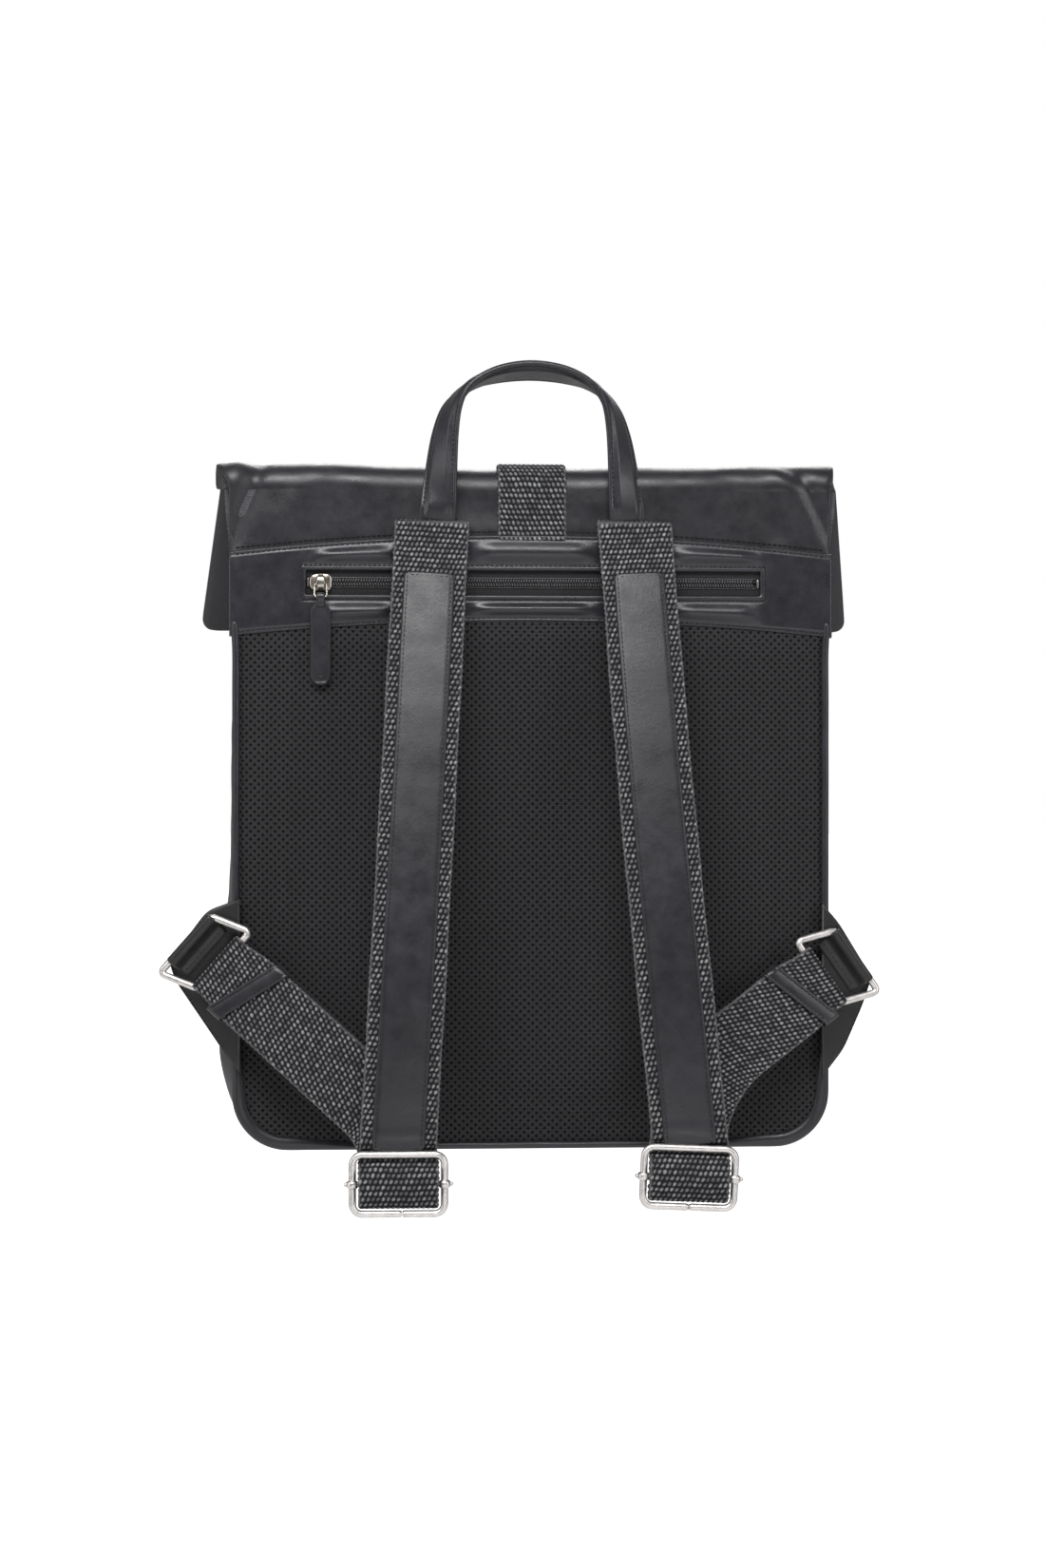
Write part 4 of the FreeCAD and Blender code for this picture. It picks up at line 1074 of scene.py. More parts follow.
def make_strap_webbing(name, side):
    """One length of webbing: folded under at the yoke, down the back and round the adjuster's bar."""
    middle, across, up, out = adjuster_axes(side)
    top = strap_point(side, 0.0)
    fold = [top + np.array([0, 1.6, -7.0]), top + np.array([0, 1.7, -2.0]), top + np.array([0, 0.8, 0.6]),
            top + np.array([0, -0.9, -1.0])]
    run = [strap_point(side, s) for s in np.linspace(0.035, 1.0, 30)]
    over_bar = [middle + up * h + out * o for h, o in
                ((17.5, -3.4), (13.0, -2.6), (8.0, 1.4), (4.0, 3.2), (0.0, 3.6), (-4.0, 3.3), (-8.5, 2.0),
                 (-11.6, -0.4), (-12.0, -3.4), (-9.5, -5.4), (-5.0, -6.0))]
    path = smooth_path(fold + run + over_bar, 0.8)
    lengths = along(path)
    narrow = ease((lengths - lengths[-1] + 46.0) / 8.0)
    wide = 1 + 0.045 * narrow - 0.008 * np.sin(lengths / 14.0 + side["seed"])
    path = resample(path, 0.8)
    share = along(path) / along(path)[-1]
    wide = wide[np.minimum((share * (len(wide) - 1)).astype(int), len(wide) - 1)]
    piece = woven_band("strap_webbing_" + name, path, across, side["seed"], fold_ends=(9.4,), wide=wide)
    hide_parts("strap_root_" + name, "shoulder_webbing_" + name)
    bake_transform(piece)


def make_overlay(name, side):
    """Leather sewn along the middle of the strap, with rounded ends and a stitched edge."""
    middle, across, up, out = adjuster_axes(side)
    run = [strap_point(side, s) for s in np.linspace(0.086, 1.0, 40)]
    run.append(middle + up * 18.6 + out * -2.6)
    path = smooth_path(run, 1.0)
    sideways, outward = frames_along(path, across)
    path = path + outward * (WEB_THICK / 2 + 0.25)
    lengths = along(path)
    taper = end_taper(lengths, 3.0, OVERLAY_HALF)
    profiles = []
    x = np.linspace(-1, 1, 33)
    edge = np.clip((1 - np.abs(x)) * OVERLAY_HALF / 0.7, 0, 1)
    roll = np.sqrt(1 - (1 - edge) ** 2 * 0.9)
    groove = 0.28 * np.exp(-((OVERLAY_HALF * (1 - np.abs(x)) - 1.9) / 0.5) ** 2)
    for s, share in zip(lengths, taper):
        dent = float(ripple(np.float64(s), np.float64(0.0), side["seed"]))
        crown = (0.35 * (1 - x ** 2) + 0.22 * dent) * np.clip((1 - np.abs(x)) * 6, 0, 1)
        xs = x * OVERLAY_HALF * share * (1 + 0.008 * math.sin(s / 23.0))
        profiles.append(two_faced(xs, (1.35 + crown) * roll - groove, np.full(33, -0.15)))
    points, faces = band(path, sideways, outward, np.array(profiles))
    piece = make_piece("strap_overlay_" + name, points, faces, LEATHER_MATT, "strap_" + name)
    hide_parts("strap_leather_" + name)
    lift = outward * 1.35
    lines = [path[2:-2] + sideways[2:-2] * sign * 12.1 + lift[2:-2] for sign in (-1, 1)]
    lines += [np.array([path[at] + sideways[at] * x + lift[at] for x in np.linspace(-10.6, 10.6, 9)])
              for at in (2, -3)]
    parts = [capsule_row(line, outward[len(outward) // 2], pitch=2.6, length=1.9, radius=0.28, lift=0.1)
             for line in lines]
    thread = make_piece("strap_stitching_" + name, *join_parts(parts), THREAD, "strap_" + name)


def rounded_loop(length, height, corner, steps=7):
    """Points of a rounded rectangle in its own plane, counter-clockwise from the lower right."""
    points = []
    for quarter, (sx, sz) in enumerate(((1, -1), (1, 1), (-1, 1), (-1, -1))):
        for t in np.linspace(-90, 0, steps):
            a = math.radians(t + 90 * quarter)
            points.append((sx * (length / 2 - corner) + corner * math.cos(a),
                           sz * (height / 2 - corner) + corner * math.sin(a)))
    return np.array(points)


def make_adjuster(name, side):
    """Bent wire frame with its butt joint, and the loose centre bar with rolled eyes."""
    middle, across, up, _ = adjuster_axes(side)
    length, height = FRAME_SIZE
    start = (2.0 if name == "left" else 0.5, -height / 2)
    flat = [start, *rounded_loop(length, height, 5.2, 9), (start[0] - 0.35, start[1])]
    path = resample(np.array([middle + across * a + up * b for a, b in flat]), 1.2)
    radii = np.full(len(path), WIRE)
    radii[[0, -1]] = WIRE * 0.82
    piece = make_piece("adjuster_wire_" + name, *tube(path, radii, 14), NICKEL, "strap_" + name)
    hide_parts("adjuster_frame_" + name)
    half = length / 2
    parts = [tube([middle - across * (half - 1), middle + across * (half - 1)], 1.4, 12)]
    for sign in (-1, 1):
        eye = middle + across * sign * half
        profile = [(WIRE + 0.1, -2.2), (WIRE + 0.9, -1.7), (WIRE + 1.25, -0.6), (WIRE + 1.25, 0.6),
                   (WIRE + 0.9, 1.7), (WIRE + 0.1, 2.2)]
        parts.append(lathe(profile, eye, up, 20))
        button = [(0, 0), (1.3, 0.1), (1.2, 1.0), (0.6, 1.7), (0, 1.8)]
        parts.append(lathe(button, eye + across * sign * (WIRE + 0.9), across * sign, 14))
    bar = make_piece("adjuster_centre_bar_" + name, *join_parts(parts), NICKEL, "strap_" + name)
    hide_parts("adjuster_bar_" + name)


def lower_axes(side):
    """Side ring and lower webbing: heading, the way across it, the tab's bar and the webbing's bar."""
    fall = math.radians(side["fall"])
    inward = side["inward"]
    heading = np.array([inward * math.cos(fall), 0, -math.sin(fall)])
    across = np.array([inward * math.sin(fall), 0, math.cos(fall)]) * inward
    tab_bar = np.array([side["tab_bar"][0], TAB_WIRE_Y, side["tab_bar"][1]])
    web_bar = tab_bar + heading * RING_REACH + np.array([0, -5.0, 0])
    return heading, across, tab_bar, web_bar


def make_ring(name, side):
    """Rectangular wire ring between the side tab and the lower webbing."""
    _, across, tab_bar, web_bar = lower_axes(side)
    way = unit(web_bar - tab_bar)
    middle = (tab_bar + web_bar) / 2
    loop = rounded_loop(RING_LENGTH, np.linalg.norm(web_bar - tab_bar), 3.4)
    lean = RING_SKEW * side["inward"]
    path = [middle + across * (a + lean * b / RING_REACH) + way * b for a, b in loop]
    points, faces = tube(path, WIRE, 14, closed=True)
    piece = make_piece("side_ring_wire_" + name, points, faces, NICKEL, "strap_" + name)
    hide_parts("side_ring_" + name)


def lower_route(side):
    """Middle line and across direction of the lower webbing, from the ring to behind the adjuster."""
    heading, _, _, web_bar = lower_axes(side)
    fall = math.radians(side["fall"])
    inward = side["inward"]
    level = side["adjuster"][1] + 8
    wide = abs(side["adjuster"][0] - web_bar[0])
    tall = web_bar[2] - level
    bend = (tall - wide * math.tan(fall)) / (math.cos(fall) - (1 - math.sin(fall)) * math.tan(fall))
    straight = (wide - bend * (1 - math.sin(fall))) / math.cos(fall)
    end_y = STRAP_TOP[1] - STRAP_BOW + 8.5
    total = straight + bend * (math.pi / 2 - fall)
    places = []
    sides = []
    for reach in np.linspace(RING_BEND, total, 60):
        turn = fall + max(reach - straight, 0) / bend
        flat = heading * min(reach, straight)
        if turn > fall:
            flat = flat + np.array([inward * (math.sin(turn) - math.sin(fall)), 0,
                                    math.cos(turn) - math.cos(fall)]) * bend
        depth = (end_y - web_bar[1]) * reach / total
        places.append(web_bar + flat + np.array([0, depth, 0]))
        sides.append(np.array([math.sin(turn), 0, inward * math.cos(turn)]))
    end = places[-1]
    for drop in (5.0, 10.0, 14.0):
        places.append(end + np.array([0, 0, -drop]))
        sides.append(sides[-1])
    return np.array(places), np.array(sides)


def make_lower_webbing(name, side):
    """Two layers of webbing from behind the adjuster, closed round the ring's bar."""
    web_bar = lower_axes(side)[3]
    places, sides = lower_route(side)
    tangents = unit(np.gradient(places, axis=0))
    side_way = unit(sides - tangents * np.sum(sides * tangents, axis=1, keepdims=True))
    outward = np.cross(tangents, side_way)
    facing = np.sign(outward[5][1]) * -1.0
    out = outward * facing
    way = tangents[2]
    normal = out[2]
    offset = WEB_THICK / 2 + 0.15
    loop = [web_bar - way * math.cos(a) * RING_BEND + normal * math.sin(a) * -RING_BEND
            for a in np.radians(np.linspace(-62, 62, 13))]
    inner = list((places - out * offset)[::-1][:-3])
    if np.linalg.norm(inner[-1] - loop[0]) > np.linalg.norm(inner[-1] - loop[-1]):
        loop = loop[::-1]
    route = inner + loop + list((places + out * offset)[3:])
    ways = list(side_way[::-1][:-3]) + [side_way[2]] * len(loop) + list(side_way[3:])
    joined = resample(np.concatenate([np.array(route), np.array(ways)], axis=1), 0.8)
    path = joined[:, :3]
    way_across = unit(joined[:, 3:])
    from_ring = np.linalg.norm(path - web_bar, axis=1)
    wide = 0.9 + 0.1 * ease((from_ring - 4.0) / 16.0)
    seed = side["seed"] + 5
    piece = woven_band("lower_webbing_band_" + name, path, way_across, seed, "strap_" + name, wide=wide)
    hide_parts("lower_webbing_" + name)


def make_keeper(name, side):
    """Leather loop round the doubled webbing, set askew, with two rows of stitches."""
    web_bar = lower_axes(side)[3]
    places, sides = lower_route(side)
    way = unit(places[20] - places[2])
    across = unit(sides[2] - way * sides[2].dot(way))
    normal = np.cross(way, across)
    normal = normal * (-1.0 if normal[1] > 0 else 1.0)
    origin = web_bar + way * side["keeper_at"]
    skew = math.tan(math.radians(side["keeper_skew"])) * side["inward"]
    tall = 2 * (WEB_THICK + 0.2 + 0.5 + 0.7)
    loop = rounded_loop(WEB_WIDTH + 2.0, tall, 2.4, 6)
    loop = resample(np.concatenate([loop, loop[:1]]), 1.0)[:-1]
    profile = [(-4.9, 0.2), (-4.6, 0.6), (-3.6, 0.6), (-3.1, 0.45), (-2.6, 0.6), (0.0, 0.72), (2.6, 0.6),
               (3.1, 0.45), (3.6, 0.6), (4.6, 0.6), (4.9, 0.2), (4.7, -0.55), (-4.7, -0.55)]
    points = []
    for i, (a, n) in enumerate(loop):
        before, after = loop[i - 1], loop[(i + 1) % len(loop)]
        tangent = unit(after - before)
        out = np.array([tangent[1], -tangent[0]])
        for w, h in profile:
            points.append(origin + across * (a + out[0] * h) + normal * (n + out[1] * h)
                          + way * (w + skew * a))
    points = np.array(points)
    count = len(profile)
    faces = grid_faces(len(loop), count, True)
    last = (len(loop) - 1) * count
    for j in range(count):
        k = (j + 1) % count
        faces.append((last + j, last + k, k, j))
    piece = make_piece("keeper_loop_" + name, points, faces, LEATHER_YOKE, "keeper_" + name)
    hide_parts("keeper_" + name)
    parts = []
    for w in (-3.1, 3.1):
        row = [origin + across * a + normal * (tall / 2 + 0.5) + way * (w + skew * a)
               for a in np.linspace(-19, 19, 16)]
        parts.append(capsule_row(np.array(row), normal, pitch=2.6, length=1.8, radius=0.26, lift=0.15))
    thread = make_piece("keeper_stitching_" + name, *join_parts(parts), THREAD, "keeper_" + name)


def round_outline(corners, radius):
    """Polygon with its inner corners rounded."""
    corners = np.asarray(corners, float)
    points = [corners[0]]
    for i in range(1, len(corners) - 1):
        before = unit(corners[i - 1] - corners[i])
        after = unit(corners[i + 1] - corners[i])
        start = corners[i] + before * radius
        end = corners[i] + after * radius
        for t in np.linspace(0, 1, 6):
            points.append(start * (1 - t) ** 2 + corners[i] * 2 * t * (1 - t) + end * t * t)
    points.append(corners[-1])
    return np.array(points)


def slab(outline, y_low, y_high, edge=0.7):
    """Flat leather from an outline in X and Z, its edges rounded; low is the face seen from the back."""
    middle = outline.mean(axis=0)
    rings = []
    for inset, y in ((4.0, y_low), (edge, y_low), (0.2, y_low + edge * 0.5), (0.0, (y_low + y_high) / 2),
                     (0.2, y_high - edge * 0.5), (edge, y_high), (4.0, y_high)):
        reach = np.linalg.norm(outline - middle, axis=1, keepdims=True)
        pulled = middle + (outline - middle) * (1 - inset / reach)
        rings.append(np.stack([pulled[:, 0], np.full(len(pulled), y), pulled[:, 1]], axis=1))
    count = len(outline)
    points = np.concatenate(rings)
    faces = grid_faces(len(rings), count, True)
    return points, faces + end_caps(len(rings), count)


def make_side_tab(name, side):
    """Leather tab out of the side seam, folded round the ring's bar and stitched down."""
    heading, across, tab_bar, _ = lower_axes(side)
    outline = round_outline(side["tab"], 5.0)
    back = tab_bar[1] + 5.6
    parts = [slab(outline, back - 2.6, back)]
    half = 17.0
    normal = np.array([0.0, -1.0, 0.0])
    route = [(12.5, -2.2), (9.5, -2.0), (6.6, -1.2), (4.6, 0.6), (2.6, 2.6)]
    for turn in np.linspace(35, 180, 12):
        route.append((-3.9 * math.sin(math.radians(turn)) + 2.4, 3.9 * math.cos(math.radians(turn))))
    route.append((7.0, -4.6))
    path = smooth_path([tab_bar + heading * a + normal * b for a, b in route], 1.0)
    side_way, outward = frames_along(path, across)
    profiles = [strip_profile(half * (1.0 - 0.05 * ease(1 - s / 4.0)), 1.5, 37, edge=0.6)
                for s in along(path)]
    parts.append(band(path, side_way, outward, np.array(profiles)))
    piece = make_piece("side_tab_leather_" + name, *join_parts(parts), LEATHER_TAB, "bag")
    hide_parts("side_tab_" + name)
    line = [tab_bar + heading * 9.6 + normal * -1.2 + across * a for a in np.linspace(-15, 15, 14)]
    rows = [capsule_row(np.array(line), normal, pitch=2.8, length=2.0, radius=0.26, lift=0.05)]
    inner = outline.mean(axis=0)
    edge_line = inner + (outline[2:-2] - inner) * 0.93
    edge_line = np.stack([edge_line[:, 0], np.full(len(edge_line), back - 2.65), edge_line[:, 1]], axis=1)
    rows.append(capsule_row(edge_line, normal, pitch=2.8, length=2.0, radius=0.26, lift=0.05))
    make_piece("side_tab_stitching_" + name, *join_parts(rows), THREAD, "bag")


for side_name, side_values in SIDES.items():
    make_strap_webbing(side_name, side_values)
    make_overlay(side_name, side_values)
    make_adjuster(side_name, side_values)
    make_ring(side_name, side_values)
    make_lower_webbing(side_name, side_values)
    make_keeper(side_name, side_values)
    make_side_tab(side_name, side_values)


# Closing strap over the fold and flap

def closing_path():
    """Middle line of the closing strap, from under the yoke over the fold to its tip."""
    points = [(0.0, -2.6, -89.5), (0.0, -1.5, -84.0), (0.0, -1.3, -74.0), (0.0, -1.4, -62.0)]
    reach = FOLD_RADIUS + 1.6
    for angle in np.linspace(math.radians(170), SLOPE, 12):
        points.append((0.0, HINGE_Y + reach * math.cos(angle), HINGE_Z + reach * math.sin(angle)))
    for t, r in ((8, 14.6), (25, 14.7), (45, 14.6), (62, 14.5), (78, 14.4), (93, 13.8),
                 (104, 9.0), (115, 5.0), (128, 3.8), (145, 3.6), (169, 3.6)):
        points.append((0.0, HINGE_Y + t * math.sin(SLOPE) + r * math.cos(SLOPE),
                       HINGE_Z - t * math.cos(SLOPE) + r * math.sin(SLOPE)))
    return smooth_path(points, 0.8)


def on_flap(t):
    """Point in metres on the flap's outer face, in the middle."""
    place = flap_place(0.0, t, FOLD_RADIUS)
    return (0.0, place[1] * MM + BACK_Y, place[2] * MM)


def make_closing_strap():
    """Webbing in two pieces: over the fold, then over the flap's end to the press stud."""
    path = closing_path()
    depth = (path[:, 1] - HINGE_Y) * math.sin(SLOPE) - (path[:, 2] - HINGE_Z) * math.cos(SLOPE)
    split = int(np.argmax((depth > 45.0) & (path[:, 1] > HINGE_Y)))
    length = along(path)[split]
    upper = resample(path[:split + 1], 0.8)
    first = woven_band("closing_strap_top", upper, AXIS_X, 41, width=CLOSING_WIDTH)
    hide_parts("closure_strap_back", "closure_strap_fold", "closure_strap_upper")
    end = on_flap(0.0)
    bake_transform(first)
    lower = resample(path[split:], 0.8)
    second = woven_band("closing_strap_end", lower, AXIS_X, 43, width=CLOSING_WIDTH, rows_from=length)
    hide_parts("closure_strap_end")
    on_flap(62.0)
    on_flap(78.0)
    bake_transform(second)
    make_tip()


def snap_point(r):
    """Middle of the press stud at a distance from the hinge's plane."""
    place = flap_place(0.0, 155.0, r)
    return np.array([0.0, place[1], place[2]])


def make_tip():
    """Leather end patch with stitches, the domed cap and the stud under it."""
    outline = []
    for first, a, b in ((90, -20, 17), (180, -20, -17), (270, 20, -17), (0, 20, 17)):
        corner = 2.5 if b > 0 else 12.0
        for t in np.linspace(0, 90, 8):
            turn = math.radians(first + t)
            outline.append((a - math.copysign(corner, a) + corner * math.cos(turn),
                            155.0 - (b - math.copysign(corner, b) + corner * math.sin(turn))))
    outline = np.array(outline)
    points, faces = slab(outline, -6.6, -4.75, edge=0.6)
    placed = flap_place(points[:, 0], points[:, 2], -points[:, 1])
    tip = make_piece("closing_strap_patch", placed, faces, LEATHER_MATT, "closing_strap")
    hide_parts("closure_strap_tip")
    middle = outline.mean(axis=0)
    row = middle + (outline - middle) * 0.87
    out = np.array([0.0, math.cos(SLOPE), math.sin(SLOPE)])
    line = flap_place(row[:, 0], row[:, 1], 6.6)
    stitches = capsule_row(line, out, pitch=2.6, length=1.9, radius=0.27, lift=0.1, closed=True)
    thread = make_piece("closing_strap_stitching", *stitches, THREAD, "closing_strap")
    cap = [(0.0, 1.9), (2.5, 1.85), (5.0, 1.55), (6.8, 0.95), (7.5, 0.3), (7.45, -0.1), (6.5, -0.25),
           (3.7, -0.3), (3.6, -3.7), (6.3, -3.8), (6.4, -5.9), (3.5, -6.0), (3.4, -4.1), (0.0, -4.1)]
    points, faces = lathe(cap, snap_point(6.5), out, 44)
    cap_piece = make_piece("press_stud_cap", points, faces, NICKEL, "closing_strap")
    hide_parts("snap_cap")
    stud = [(0.0, 1.8), (1.6, 1.7), (2.5, 1.2), (2.3, 0.5), (1.9, 0.1), (5.3, -0.05), (5.4, -0.35),
            (1.2, -0.4), (1.2, -2.5), (4.4, -2.6), (4.4, -3.3), (0.0, -3.4)]
    stud_piece = make_piece("press_stud_post", *lathe(stud, snap_point(0.0), out, 36), NICKEL, "bag")
    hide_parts("snap_stud")


# Zip

def make_coils():
    """Nylon coils: a slanted loop of thread for every tooth, in two rows."""
    pitch = 1.45
    parts = []
    teeth = int((ZIP_RIGHT - ZIP_LEFT - 6.0) / pitch)
    for row, sign in enumerate((1, -1)):
        for i in range(teeth):
            x = ZIP_LEFT + 3.0 + (i + 0.5 * row) * pitch
            z = ZIP_Z + sign * np.linspace(0.15, 2.3, 5)
            y = -2.3 - 0.95 * np.sin(np.linspace(0.25, 1, 5) * math.pi)
            path = np.stack([x + np.linspace(-0.32, 0.32, 5), y, z], axis=1)
            parts.append(tube(path, [0.34, 0.46, 0.5, 0.46, 0.3], 6))
    for sign in (1, -1):
        run = np.stack([np.linspace(ZIP_LEFT + 2.6, ZIP_RIGHT - 2.6, 60), np.full(60, -1.9),
                        np.full(60, ZIP_Z + sign * 2.65)], axis=1)
        parts.append(tube(run, 0.32, 6))
    piece = make_piece("zip_coil_teeth", *join_parts(parts), COIL, "bag")
    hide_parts("zip_coils")
    stops = []
    for x in (ZIP_LEFT + 1.3, ZIP_RIGHT - 1.4):
        loop = [np.array([x, -2.2, ZIP_Z + z]) for z in np.linspace(-2.6, 2.6, 7)]
        stops.append(tube(loop, [0.5, 0.75, 0.8, 0.8, 0.8, 0.75, 0.5], 10))
    piece = make_piece("zip_end_stops", *join_parts(stops), DARK_NICKEL, "bag")
    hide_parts("zip_stops")


def dome(outline, middle, y_base, height, steps=7):
    """Rounded cap over an outline, with a flat underside."""
    rings = []
    for i in range(steps):
        a = i / (steps - 0.6) * math.pi / 2
        pulled = middle + (outline - middle) * math.cos(a) ** 0.55
        level = np.full(len(pulled), y_base - height * math.sin(a))
        rings.append(np.stack([pulled[:, 0], level, pulled[:, 1]], axis=1))
    count = len(outline)
    faces = grid_faces(steps, count, True)
    return np.concatenate(rings), faces + end_caps(steps, count)


def make_slider():
    """Cast slider: two rounded plates, the post between them and the bridge that holds the pull."""
    middle = np.array([SLIDER_X, ZIP_Z])
    loop = []
    for t in np.linspace(0, 2 * math.pi, 48, endpoint=False):
        c, s = math.cos(t), math.sin(t)
        half = 4.9 * (1.0 + 0.10 * c)
        loop.append((SLIDER_X + 6.2 * math.copysign(abs(c) ** 0.55, c),
                     ZIP_Z + half * math.copysign(abs(s) ** 0.6, s)))
    outline = np.array(loop)
    parts = [dome(outline, middle, -3.1, 1.35)]
    low = dome(outline, middle, -0.75, -1.0)
    parts.append((low[0], [f[::-1] for f in low[1]]))
    post = np.array([(SLIDER_X + 2.7 + 1.8 * math.cos(t), ZIP_Z + 0.35 * math.sin(t))
                     for t in np.linspace(0, 2 * math.pi, 12, endpoint=False)])
    parts.append(dome(post, post.mean(axis=0), -0.7, 2.6, 3))
    arch = []
    for t in np.linspace(0, math.pi, 15):
        arch.append((SLIDER_X, -4.0 - 3.0 * math.sin(t) ** 0.8, ZIP_Z - 0.4 + 4.0 * math.cos(t)))
    path = np.array(arch)
    side_way, outward = frames_along(path, AXIS_X)
    widths = 1.5 + 1.1 * np.sin(np.linspace(0, math.pi, 15))
    profiles = np.array([strip_profile(w, 1.1, 9, edge=0.6) for w in widths])
    parts.append(band(path, side_way, outward, profiles))
    piece = make_piece("zip_slider_body", *join_parts(parts), DARK_NICKEL, "zip_slider")
    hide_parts("zip_slider")
    link_top = np.array([SLIDER_X, -5.4, ZIP_Z - 1.0])
    link_height = 8.2
    tilt = math.radians(25.0)
    down = np.array([0.0, -math.sin(tilt), -math.cos(tilt)])
    loop = rounded_loop(6.8, link_height, 1.6)
    path = [link_top + down * link_height / 2 + AXIS_X * a - down * b for a, b in loop]
    link = make_piece("pull_link_wire", *tube(path, 0.62, 10, closed=True), DARK_NICKEL, "pull_link")
    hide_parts("pull_link")
    make_pull(link_top + down * link_height)


def make_pull(bar):
    """Leather zip pull: folded round the link, with a raised rim, a hollow middle and an eyelet."""
    end_z = -169.5
    half = 5.4
    heights = np.linspace(bar[2] - 2.0, end_z, 70)
    path = np.stack([np.full(70, SLIDER_X), np.full(70, bar[1]), heights], axis=1)
    side_way, outward = frames_along(path, AXIS_X)
    x = np.linspace(-1, 1, 25)
    profiles = []
    for place in path:
        above = place[2] - end_z
        shoulder = 0.45 + 0.55 * ease((bar[2] - 2.0 - place[2]) / 5.5)
        end = math.sqrt(max(1 - (1 - min(above / half, 1.0)) ** 2, 0.004))
        wide = half * shoulder * end
        distance = wide * (1 - np.abs(x))
        roll = np.sqrt(1 - (1 - np.clip(distance / 0.7, 0, 1)) ** 2 * 0.95)
        hollow = 0.38 * ease((np.minimum(distance, above * 0.8) - 0.9) / 0.6)
        height = (1.25 - hollow) * roll
        profiles.append(two_faced(x * wide, height, -height))
    parts = [band(path, side_way, outward, np.array(profiles))]
    route = [(0.9, -5.5), (1.35, -2.5), (1.75, 0.0), (1.2, 1.5), (0.0, 2.0),
             (-1.2, 1.5), (-1.75, 0.0), (-1.35, -2.5), (-0.9, -5.5)]
    loop = smooth_path([(SLIDER_X, bar[1] + a, bar[2] + b) for a, b in route], 0.6)
    side_way, outward = frames_along(loop, AXIS_X)
    profiles = np.array([strip_profile(2.3, 0.9, 9, edge=0.4)] * len(loop))
    parts.append(band(loop, side_way, outward, profiles))
    piece = make_piece("zip_pull_leather", *join_parts(parts), LEATHER_YOKE, "pull_tab")
    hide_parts("pull_tab")
    eyelet = [(0.0, 0.95), (0.9, 0.97), (1.1, 1.2), (1.4, 1.25), (1.7, 1.1), (1.75, 0.6), (0.0, 0.6)]
    middle = np.array([SLIDER_X, bar[1], end_z + 5.4])
    hole = make_piece("zip_pull_eyelet", *lathe(eyelet, middle, [0, -1, 0], 24), THREAD, "pull_tab")


# Handle

HANDLE_HALF = 10.3


def handle_course():
    """Middle line of the handle: stations of across, turn in degrees and up, one half mirrored."""
    half = [(-54.0, 88.0, -87.0), (-52.9, 84.0, -80.0), (-50.6, 58.0, -52.0), (-48.0, 41.0, -29.0),
            (-43.6, 27.0, -13.5), (-34.5, 7.0, -3.0), (-19.0, -8.0, 3.6), (0.0, -13.0, 6.0)]
    mirrored = [(-x, turn, z) for x, turn, z in half[:-1]]
    course = smooth_path(half + mirrored[::-1], 1.0)
    return resample(course, 2.0)


def make_handle():
    """Leather band folded over a core, turning edge-on towards the grip, stitched along both edges."""
    lean = math.tan(math.radians(7.0))
    course = handle_course()
    plane_normal = unit(np.array([0, -1.0, lean]))
    path = []
    for x, _, z in course:
        sunk = 1 - ease((z + 84.0) / 16.0)
        path.append((x, (-5.4 + (z + 76.0) * lean) * (1 - sunk) - 1.9 * sunk, z))
    turns = np.radians(course[:, 1])[:, None]
    in_plane = unit(np.cross(np.gradient(course * [1, 0, 1], axis=0) + [0, 1e-9, 0], plane_normal))
    across = in_plane * np.sin(turns) + plane_normal * np.cos(turns)
    path = np.array(path)
    tangents = unit(np.gradient(path, axis=0))
    side_way = unit(across - tangents * np.sum(across * tangents, axis=1, keepdims=True))
    outward = np.cross(tangents, side_way)
    profiles = []
    x = np.linspace(-1, 1, 35)
    distance = HANDLE_HALF * (1 - np.abs(x))
    roll = np.sqrt(1 - (1 - np.clip(distance / 0.8, 0, 1)) ** 2 * 0.93)
    core = ease((distance - 2.4) / 3.4)
    crown = (1.35 + 1.25 * core) * roll - 0.3 * np.exp(-((distance - 2.1) / 0.5) ** 2)
    for i, place in enumerate(path):
        height = crown + 0.08 * math.sin(i / 3.0) * core
        height = height * (0.32 + 0.68 * ease((place[2] + 84.0) / 14.0))
        profiles.append(two_faced(x * HANDLE_HALF, height, -height))
    piece = make_piece("handle_leather", *band(path, side_way, outward, np.array(profiles)), LEATHER_YOKE)
    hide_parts("carry_handle")
    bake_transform(piece)
    rows = []
    for sign in (-1, 1):
        for face in (-1, 1):
            line = path + side_way * sign * 8.2 + outward * face * 1.15
            above = (path[:, 2] > -71.0) & (path[:, 2] < -12.0)
            for leg in (above & (path[:, 0] < 0), above & (path[:, 0] > 0)):
                rows.append(capsule_row(line[leg], (outward * face)[leg], 2.7, 2.0, 0.28, 0.1))
    thread = make_piece("handle_stitching", *join_parts(rows), THREAD)
    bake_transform(thread)


make_closing_strap()
make_coils()
make_slider()
make_handle()


# Materials of the CAD pieces that stay

KEPT = {
    "back_board": BOARD, "base_board": BOARD, "lining": LINING, "laptop_sleeve": LINING,
    "pocket_pouch": LINING, "zip_tape_upper": TAPE, "zip_tape_lower": TAPE, "handle_anchors": LEATHER_SKIN,
}
for node_name, node_finish in KEPT.items():
    node_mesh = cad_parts[node_name].data
    node_mesh.materials.clear()
    node_mesh.materials.append(node_finish)


# Floor, light and camera

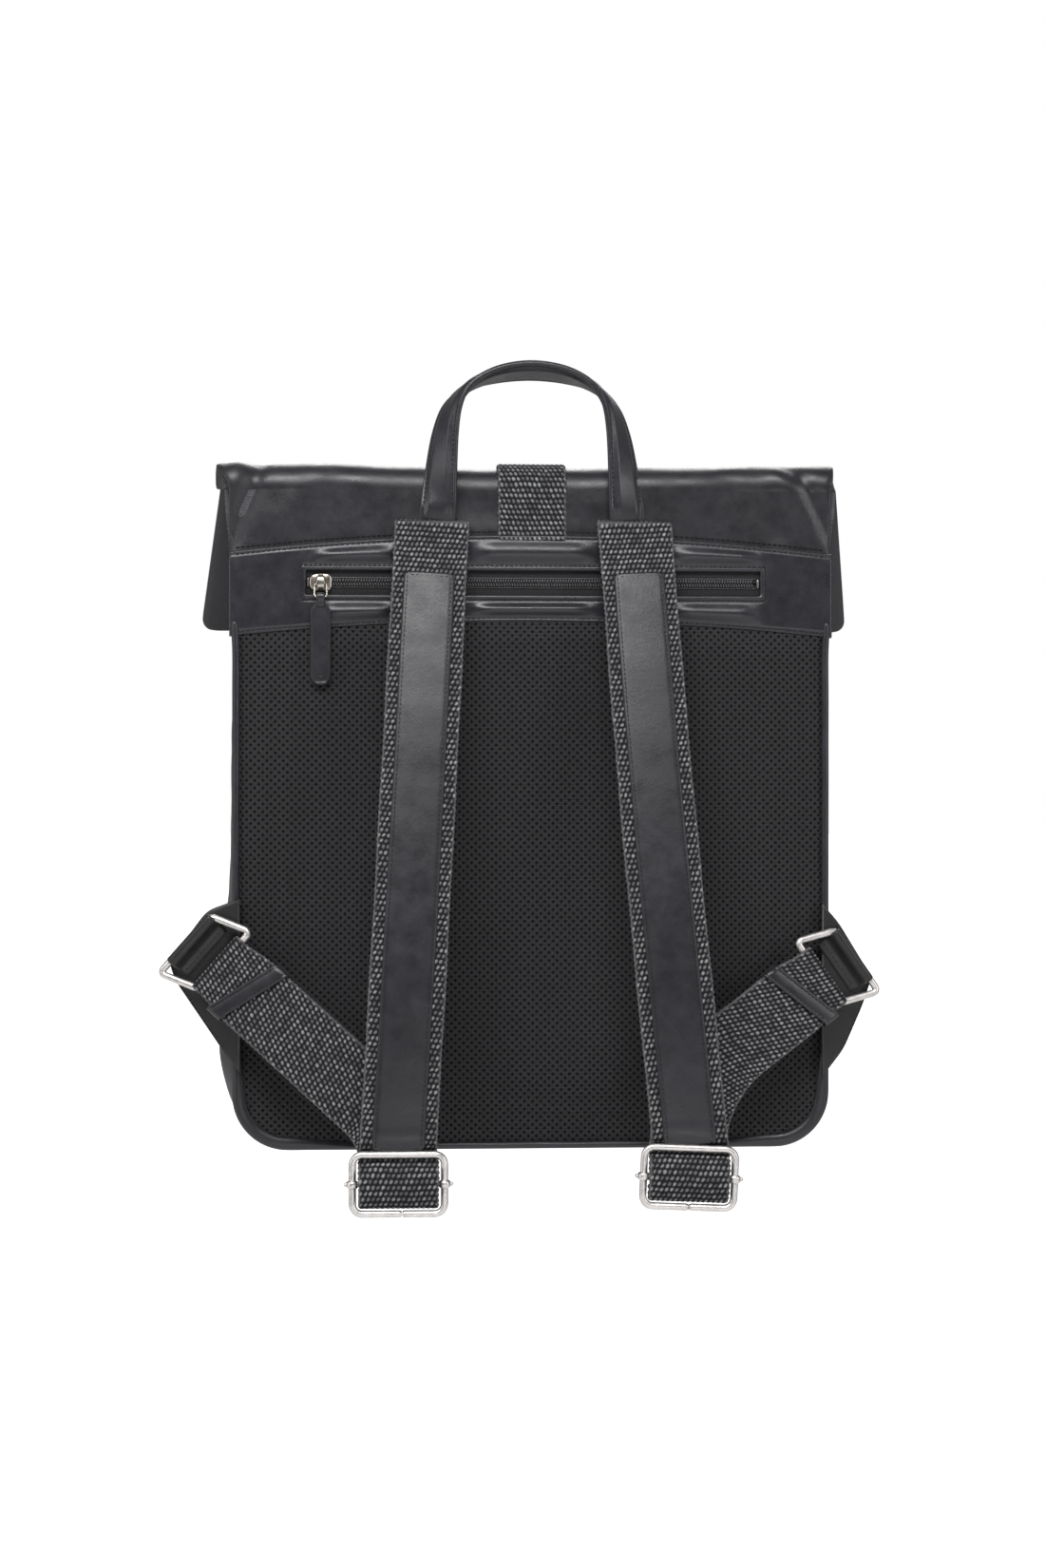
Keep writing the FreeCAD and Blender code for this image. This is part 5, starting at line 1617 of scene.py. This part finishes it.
def make_floor():
    """Wide pale floor well below the hanging bag."""
    mesh = bpy.data.meshes.new("floor")
    size = 40.0
    level = -0.95
    corners = [(-size, -size, level), (size, -size, level), (size, size, level), (-size, size, level)]
    mesh.from_pydata(corners, [], [(0, 1, 2, 3)])
    floor = bpy.data.objects.new("floor", mesh)
    bpy.context.scene.collection.objects.link(floor)
    material, tree, shader = node_material("floor_paper")
    point = object_point(tree)
    paper = ramp(tree, noise(tree, point, 3.0), [(0.3, (0.90, 0.90, 0.90)), (0.7, (0.93, 0.93, 0.93))])
    tree.links.new(paper, shader.inputs["Base Color"])
    shader.inputs["Roughness"].default_value = 0.9
    shader.inputs["Specular IOR Level"].default_value = 0.1
    shader.inputs["Emission Color"].default_value = (1.0, 1.0, 1.0, 1.0)
    seen = tree.nodes.new("ShaderNodeLightPath").outputs["Is Camera Ray"]
    tree.links.new(calc(tree, "MULTIPLY", seen, 1.2), shader.inputs["Emission Strength"])
    mesh.materials.append(material)


def make_light(name, place, aim, size, power):
    """Soft square light pointed at a place."""
    data = bpy.data.lights.new(name, "AREA")
    data.shape = "RECTANGLE"
    data.size, data.size_y = size
    data.energy = power
    light = bpy.data.objects.new(name, data)
    bpy.context.scene.collection.objects.link(light)
    light.location = place
    light.rotation_euler = (Vector(aim) - Vector(place)).to_track_quat("-Z", "Y").to_euler()


def make_stage():
    """White room, five soft lights and the camera square to the strap side, turned a little."""
    world = bpy.data.worlds.new("studio")
    bpy.context.scene.world = world
    world.use_nodes = True
    background = world.node_tree.nodes["Background"]
    background.inputs["Color"].default_value = (1.0, 1.0, 1.0, 1.0)
    seen = world.node_tree.nodes.new("ShaderNodeLightPath").outputs["Is Camera Ray"]
    room = 0.24
    strength = calc(world.node_tree, "ADD", calc(world.node_tree, "MULTIPLY", seen, 1.0 - room), room)
    world.node_tree.links.new(strength, background.inputs["Strength"])
    middle = (0.0, BACK_Y, -0.22)
    make_light("key_light", (-0.3, -1.15, 1.0), middle, (1.3, 0.45), 33.0)
    make_light("low_light", (0.1, -1.5, -0.75), middle, (0.9, 0.25), 2.6)
    make_light("side_light", (1.6, -1.0, 0.2), middle, (0.5, 1.4), 12.0)
    make_light("far_light", (-1.7, -0.5, 0.1), middle, (0.5, 1.4), 9.0)
    make_light("rim_light", (0.3, 1.5, 1.2), middle, (1.4, 0.9), 24.0)
    make_floor()
    camera_data = bpy.data.cameras.new("camera")
    camera = bpy.data.objects.new("camera", camera_data)
    bpy.context.scene.collection.objects.link(camera)
    distance = 1.6
    turn = math.radians(-3.5)
    target = Vector((-0.0053, BACK_Y, -0.2237))
    back = Vector((math.sin(turn), -math.cos(turn), 0.0))
    camera.location = target + back * distance
    camera.rotation_euler = (-back).to_track_quat("-Z", "Y").to_euler()
    framed_height = 0.8684
    camera_data.lens = camera_data.sensor_width * distance / framed_height
    camera_data.clip_start = 0.05
    camera_data.clip_end = 100.0
    bpy.context.scene.camera = camera
    bpy.context.scene.view_settings.view_transform = "Standard"


make_stage()
